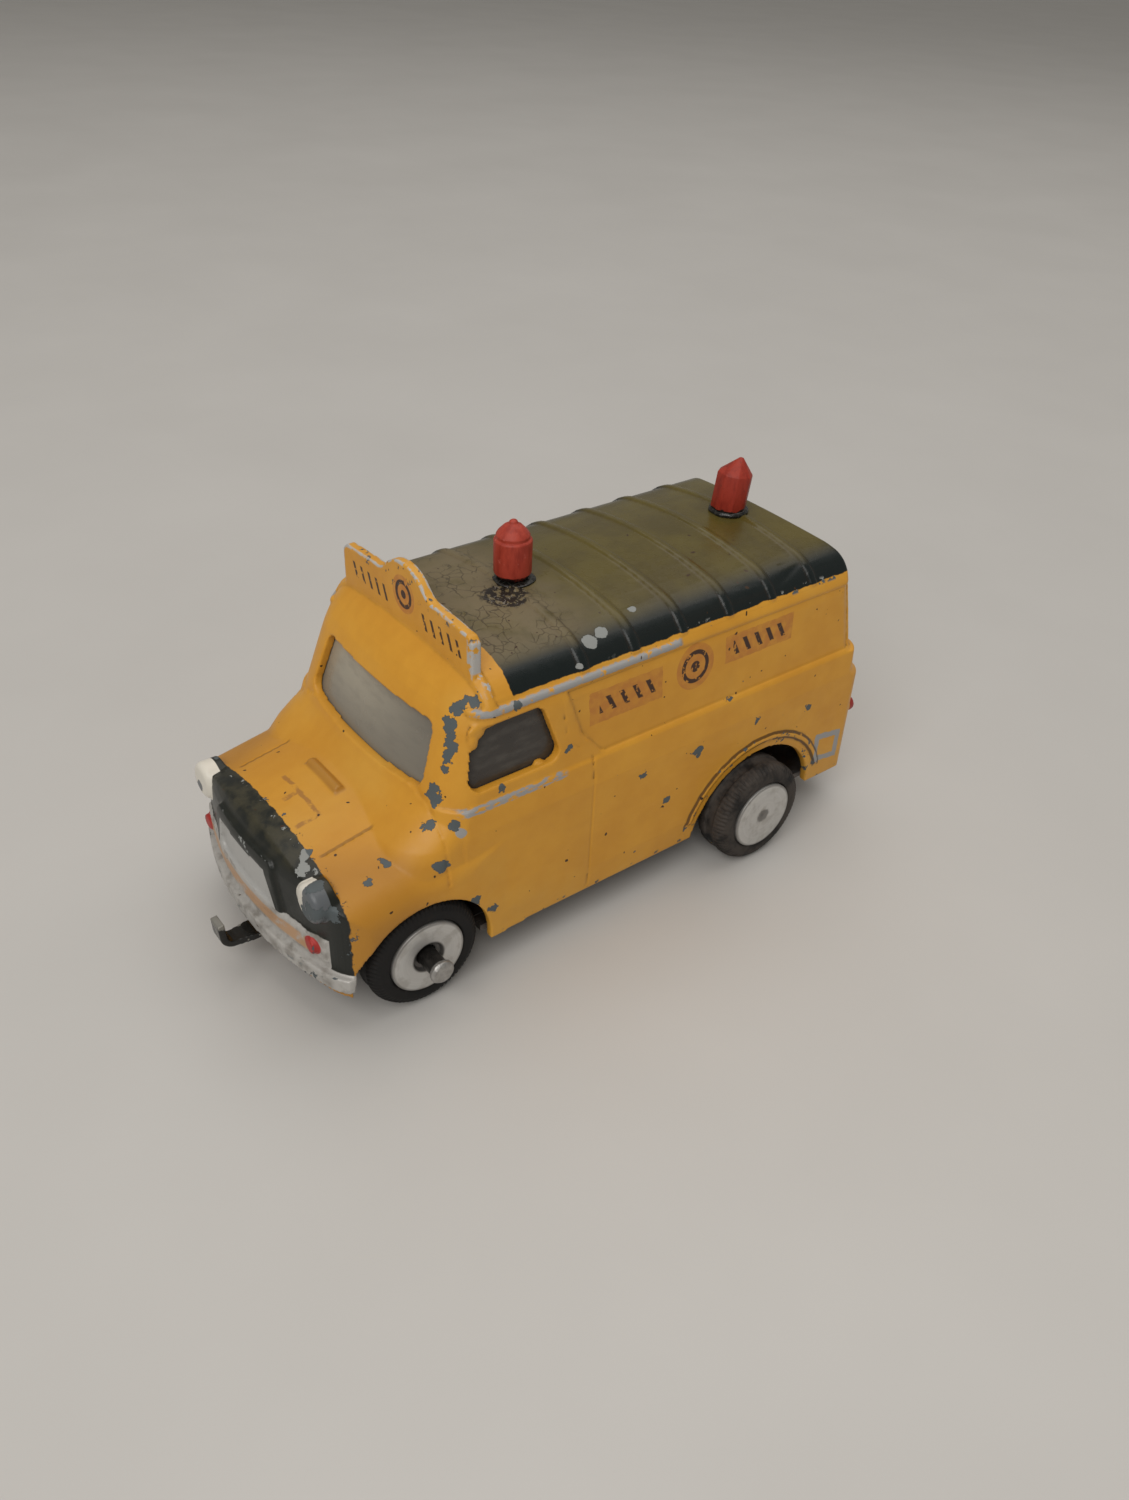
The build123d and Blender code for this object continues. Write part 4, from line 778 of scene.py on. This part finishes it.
def spun(profile, centre, axis, steps=96, soften=0.0, segments=3, crease=30):
    """Solid of revolution from (along the axis, radius) pairs in millimetres, with softened edges."""
    along = Vector(axis)
    outward = Vector((0, 0, 1)) if along.x else Vector((1, 0, 0))
    shape = bmesh.new()
    corners = [shape.verts.new(centre + (along * a + outward * r) * MM) for a, r in profile]
    closed = profile[0][1] > 0
    ends = corners[1:] + corners[:1] if closed else corners[1:]
    lines = [shape.edges.new(pair) for pair in zip(corners, ends)]
    bmesh.ops.spin(shape, geom=corners + lines, cent=centre, axis=along, angle=FULL_TURN, steps=steps,
                   use_merge=True, use_duplicate=False)
    bmesh.ops.remove_doubles(shape, verts=shape.verts, dist=0.001 * MM)
    bmesh.ops.recalc_face_normals(shape, faces=shape.faces)
    if soften:
        sharp = [edge for edge in shape.edges if edge.calc_face_angle(0.0) > math.radians(crease)]
        bmesh.ops.bevel(shape, geom=sharp, offset=soften * MM, offset_type="OFFSET", affect="EDGES",
                        segments=segments, profile=0.5, material=-1, clamp_overlap=True)
    return shape


def roughened(shape, amount, scale, seed):
    """Pushes every corner a little along its normal, by noise of that scale in waves per millimetre."""
    shape.normal_update()
    offset = Vector((seed, 0, 0))
    for corner in shape.verts:
        corner.co += corner.normal * noise.noise(corner.co / MM * scale + offset) * amount * MM


# ---- body ---------------------------------------------------------------------------------------
# Thick drops of paint: x, y, z, radius along y, radius along z.
PAINT_DROPS = ((15.3, -18.3, 32.5, 1.1, 0.9), (15.3, -17.0, 33.1, 1.8, 0.5), (15.5, -18.8, 31.5, 0.6, 0.9),
               (15.8, -10.6, 26.1, 0.6, 0.25), (12.0, -21.3, 27.6, 0.4, 0.8))


def body_casting(enamel):
    """The cast body with its edges rounded and thickened by several coats of enamel."""
    shape = copy_of("body_shell")
    for x, y, z, wide, high in PAINT_DROPS:
        stretch = Matrix.Diagonal((0.35, wide, high, 1.0))
        bmesh.ops.create_icosphere(shape, subdivisions=3, radius=MM,
                                   matrix=Matrix.Translation(Vector((x, y, z)) * MM) @ stretch)
    body = piece_from(shape, "body_casting", enamel)
    with_modifiers(body, ("REMESH", {"mode": "VOXEL", "voxel_size": 0.20 * MM, "use_smooth_shade": True}),
                   ("SMOOTH", {"factor": 0.5, "iterations": 2}),
                   ("DECIMATE", {"ratio": 0.15}))
    for face in body.data.polygons:
        face.use_smooth = True
    dress(body, "chassis", "enamel", "body_shell")


def glazing(sheet):
    """Clear sheets behind the windows."""
    for node in ("windscreen_glazing", "left_door_glazing", "right_door_glazing", "rear_door_glazing"):
        pane = piece_from(copy_of(node), node + "_sheet", sheet, crease=30)
        dress(pane, "chassis", "glazing", node)


# ---- running gear -------------------------------------------------------------------------------
TREAD_NOTCHES = 72                     # around each tyre, on either side of its middle
NOTCH_DEEP = 0.20                      # millimetres
ROD_PLAY = 0.06                        # between the front rod and a hub's bore, in millimetres
BUTTON_LONG = 0.95                     # hammered length at each end of the front rod, in millimetres


def tyre(name, centre, width, body, rubber):
    """Rubber ring with a rounded shoulder, shallow side grooves and notched tread edges."""
    half = width / 2
    inner = HUB_R / MM
    outer = TYRE_R / MM
    profile = ((-half + 0.35, inner), (-half, inner + 0.25), (-half, outer - 1.15),
               (-half + 0.30, outer - 0.45), (-half + 0.95, outer - 0.08), (-0.75, outer),
               (-0.55, outer - 0.22), (0.55, outer - 0.22), (0.75, outer), (half - 0.95, outer - 0.08),
               (half - 0.30, outer - 0.45), (half, outer - 1.15), (half, inner + 0.25), (half - 0.35, inner))
    shape = spun(profile, centre, (1, 0, 0), 4 * TREAD_NOTCHES, soften=0.10, segments=2, crease=15)
    notch = FULL_TURN / TREAD_NOTCHES
    for corner in shape.verts:
        arm = corner.co - centre
        reach = math.hypot(arm.y, arm.z)
        aside = abs(arm.x) / MM
        if reach / MM > outer - 0.7 and aside > 1.0:
            turn = math.atan2(arm.z, arm.y) / notch
            if (turn + 0.25 * math.copysign(1, arm.x)) % 1.0 < 0.26:
                corner.co.yz = centre.yz + arm.yz * (1 - NOTCH_DEEP * MM / reach)
    piece = piece_from(shape, name + "_rubber", rubber, crease=50)
    dress(piece, body, "tyre_rubber", name)


def front_hub(name, side, metal):
    """Turned aluminium disc, flat outside with a recess around the rod."""
    low, high = (corner.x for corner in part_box(name))
    outer, inner = (high, low) if side > 0 else (low, high)
    centre = Vector((outer, FRONT_AXLE.y, FRONT_AXLE.z))
    deep = (outer - inner) / MM * side
    bore = ROD_R / MM + ROD_PLAY
    rim = HUB_R / MM
    profile = ((-0.55, bore), (-0.50, 1.72), (0.0, 1.92), (0.0, rim - 0.10), (-0.12, rim),
               (-deep + 0.70, rim), (-deep + 0.60, 2.3), (-deep, 2.2), (-deep, bore))
    shape = spun(profile, centre, (side, 0, 0), 128, soften=0.07, segments=2)
    piece = piece_from(shape, name + "_turning", metal)
    dress(piece, name.replace("_hub", "_wheel"), "turned_aluminium", name)


def rear_hub(name, side, metal):
    """Turned aluminium disc, closed outside with a small centre mark."""
    low, high = (corner.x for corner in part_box(name))
    outer, inner = (high, low) if side > 0 else (low, high)
    centre = Vector((outer, REAR_AXLE.y, REAR_AXLE.z))
    deep = (outer - inner) / MM * side
    rim = HUB_R / MM
    profile = ((-0.30, 0.0), (-0.02, 0.42), (0.0, 0.60), (0.0, rim - 0.10), (-0.12, rim),
               (-deep + 0.70, rim), (-deep + 0.60, 2.3), (-deep, 2.2), (-deep, ROD_R / MM),
               (-1.1, ROD_R / MM), (-1.1, 0.0))
    shape = spun(profile, centre, (side, 0, 0), 128, soften=0.06, segments=2)
    piece = piece_from(shape, name + "_turning", metal)
    dress(piece, "rear_wheelset", "turned_aluminium", name)


def axle_rods(steel):
    """Front rod with a hammered button on each end, and the plain rear rod."""
    low, high = (corner.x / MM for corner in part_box("front_axle"))
    centre = Vector((0, FRONT_AXLE.y, FRONT_AXLE.z))
    rod = ROD_R / MM
    button = (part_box("front_axle")[1].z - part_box("front_axle")[0].z) / MM / 2
    profile = ((low, 0.0), (low, button - 0.25), (low + 0.35, button), (low + 0.80, button - 0.05),
               (low + 0.90, rod), (high - 0.90, rod), (high - 0.78, button - 0.06), (high - 0.35, button),
               (high - 0.04, button - 0.30), (high - 0.08, 0.55), (high, 0.0))
    shape = spun(profile, centre, (1, 0, 0), 48, soften=0.08, segments=2)
    for corner in shape.verts:
        if abs(corner.co.x) > min(-low, high) * MM - BUTTON_LONG * MM:
            beat = noise.noise(corner.co / MM * 1.9)
            corner.co.yz = centre.yz + (corner.co.yz - centre.yz) * (1 - 0.10 * abs(beat))
    piece = piece_from(shape, "front_rod", steel, crease=60)
    dress(piece, "front_axle", "axle_steel", "front_axle")
    low, high = (corner.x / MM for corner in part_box("rear_axle"))
    shape = spun(((low, 0.0), (low, rod), (high, rod), (high, 0.0)), Vector((0, REAR_AXLE.y, REAR_AXLE.z)),
                 (1, 0, 0), 48, soften=0.1)
    dress(piece_from(shape, "rear_rod", steel), "rear_wheelset", "axle_steel", "rear_axle")


# ---- beacons ------------------------------------------------------------------------------------
def front_beacon(red):
    """Round capped bead with a nub on top."""
    low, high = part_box("front_beacon")
    foot = Vector(((low.x + high.x) / 2, (low.y + high.y) / 2, low.z))
    tall = (high.z - low.z) / MM
    wide = (high.x - low.x) / MM / 2
    profile = ((0.0, 0.0), (0.0, wide - 0.50), (0.65, wide - 0.02), (tall - 2.35, wide),
               (tall - 2.15, wide - 0.16), (tall - 2.15, wide - 0.30), (tall - 1.75, wide - 0.22),
               (tall - 1.35, wide - 0.50), (tall - 0.65, wide - 1.15), (tall - 0.38, 0.52),
               (tall - 0.14, 0.46), (tall, 0.22), (tall, 0.0))
    shape = spun(profile, foot, (0, 0, 1), 72, soften=0.10, segments=2, crease=12)
    roughened(shape, 0.06, 0.9, 4.0)
    for corner in shape.verts:
        corner.co.z = min(corner.co.z, high.z)
    dress(piece_from(shape, "front_beacon_bead", red, crease=60), "chassis", "beacon_red", "front_beacon")


def faceted_beacon(red):
    """Whittled peg with flat faces, a pointed top and a lean."""
    shape = copy_of("rear_beacon")
    bmesh.ops.dissolve_limit(shape, angle_limit=math.radians(4), verts=shape.verts, edges=shape.edges)
    sharp = [edge for edge in shape.edges if edge.calc_face_angle(0.0) > math.radians(15)]
    bmesh.ops.bevel(shape, geom=sharp, offset=0.16 * MM, offset_type="OFFSET", affect="EDGES", segments=2,
                    profile=0.5, material=-1, clamp_overlap=True)
    bmesh.ops.triangulate(shape, faces=[face for face in shape.faces if len(face.verts) > 4])
    dress(piece_from(shape, "rear_beacon_peg", red, crease=35), "chassis", "beacon_red", "rear_beacon")


def beacon_pads(cement):
    """Ragged black cement that squeezed out around each beacon's foot."""
    for seed, node in enumerate(("front_beacon_pad", "rear_beacon_pad")):
        low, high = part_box(node)
        centre = (low + high) / 2
        wide = (high.x - low.x) / MM / 2
        tall = (high.z - low.z) / MM
        foot = Vector((centre.x, centre.y, low.z))
        profile = ((0.0, 0.0), (0.0, wide - 0.10), (tall * 0.45, wide), (tall * 0.8, wide - 0.25),
                   (tall, wide - 0.75), (tall, 0.0))
        shape = spun(profile, foot, (0, 0, 1), 96, soften=0.12, segments=3)
        for corner in shape.verts:
            arm = corner.co.xy - foot.xy
            swell = noise.noise(corner.co / MM * 0.55 + Vector((9.0 * seed, 2.0, 0)))
            corner.co.xy = foot.xy + arm * (0.93 + 0.13 * swell)
        dress(piece_from(shape, node + "_squeeze", cement), "chassis", "black_filler", node)


# ---- tow hook and base --------------------------------------------------------------------------
def bent_strip(black):
    """Narrow steel strip folded up into a hook."""
    strip = piece_from(copy_of("tow_hook"), "tow_strip", black)
    with_modifiers(strip, ("REMESH", {"mode": "VOXEL", "voxel_size": 0.10 * MM, "use_smooth_shade": True}),
                   ("SMOOTH", {"factor": 0.5, "iterations": 1}), ("DECIMATE", {"ratio": 0.5}))
    for face in strip.data.polygons:
        face.use_smooth = True
    dress(strip, "chassis", "black_strip", "tow_hook")


def base_sheet(tin):
    """Pressed base plate."""
    piece = piece_from(copy_of("baseplate"), "base_sheet", tin, crease=25)
    dress(piece, "chassis", "tin", "baseplate")


# ---- everything together ------------------------------------------------------------------------
place_camera()
lay_floor()
body_casting(body_enamel())
glazing(clouded_sheet())
base_sheet(base_tin())
rubber = tyre_rubber()
front_metal = turned_metal("front_hub_aluminium", FRONT_AXLE)
rear_metal = turned_metal("rear_hub_aluminium", REAR_AXLE)
for name, side in (("left", 1), ("right", -1)):
    for end, axle, body in (("front", FRONT_AXLE, f"front_{name}_wheel"),
                            ("rear", REAR_AXLE, "rear_wheelset")):
        node = f"{end}_{name}_tyre"
        low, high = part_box(node)
        centre = Vector(((low.x + high.x) / 2, axle.y, axle.z))
        tyre(node, centre, (high.x - low.x) / MM, body, rubber)
    front_hub(f"front_{name}_hub", side, front_metal)
    rear_hub(f"rear_{name}_hub", side, rear_metal)
axle_rods(rod_steel())
front_beacon(beacon_paint("front_beacon_paint", (0.43, 0.055, 0.032), (0.50, 0.12, 0.09)))
faceted_beacon(beacon_paint("rear_beacon_paint", (0.36, 0.035, 0.018), (0.15, 0.03, 0.015)))
beacon_pads(black_cement())
bent_strip(strip_paint())
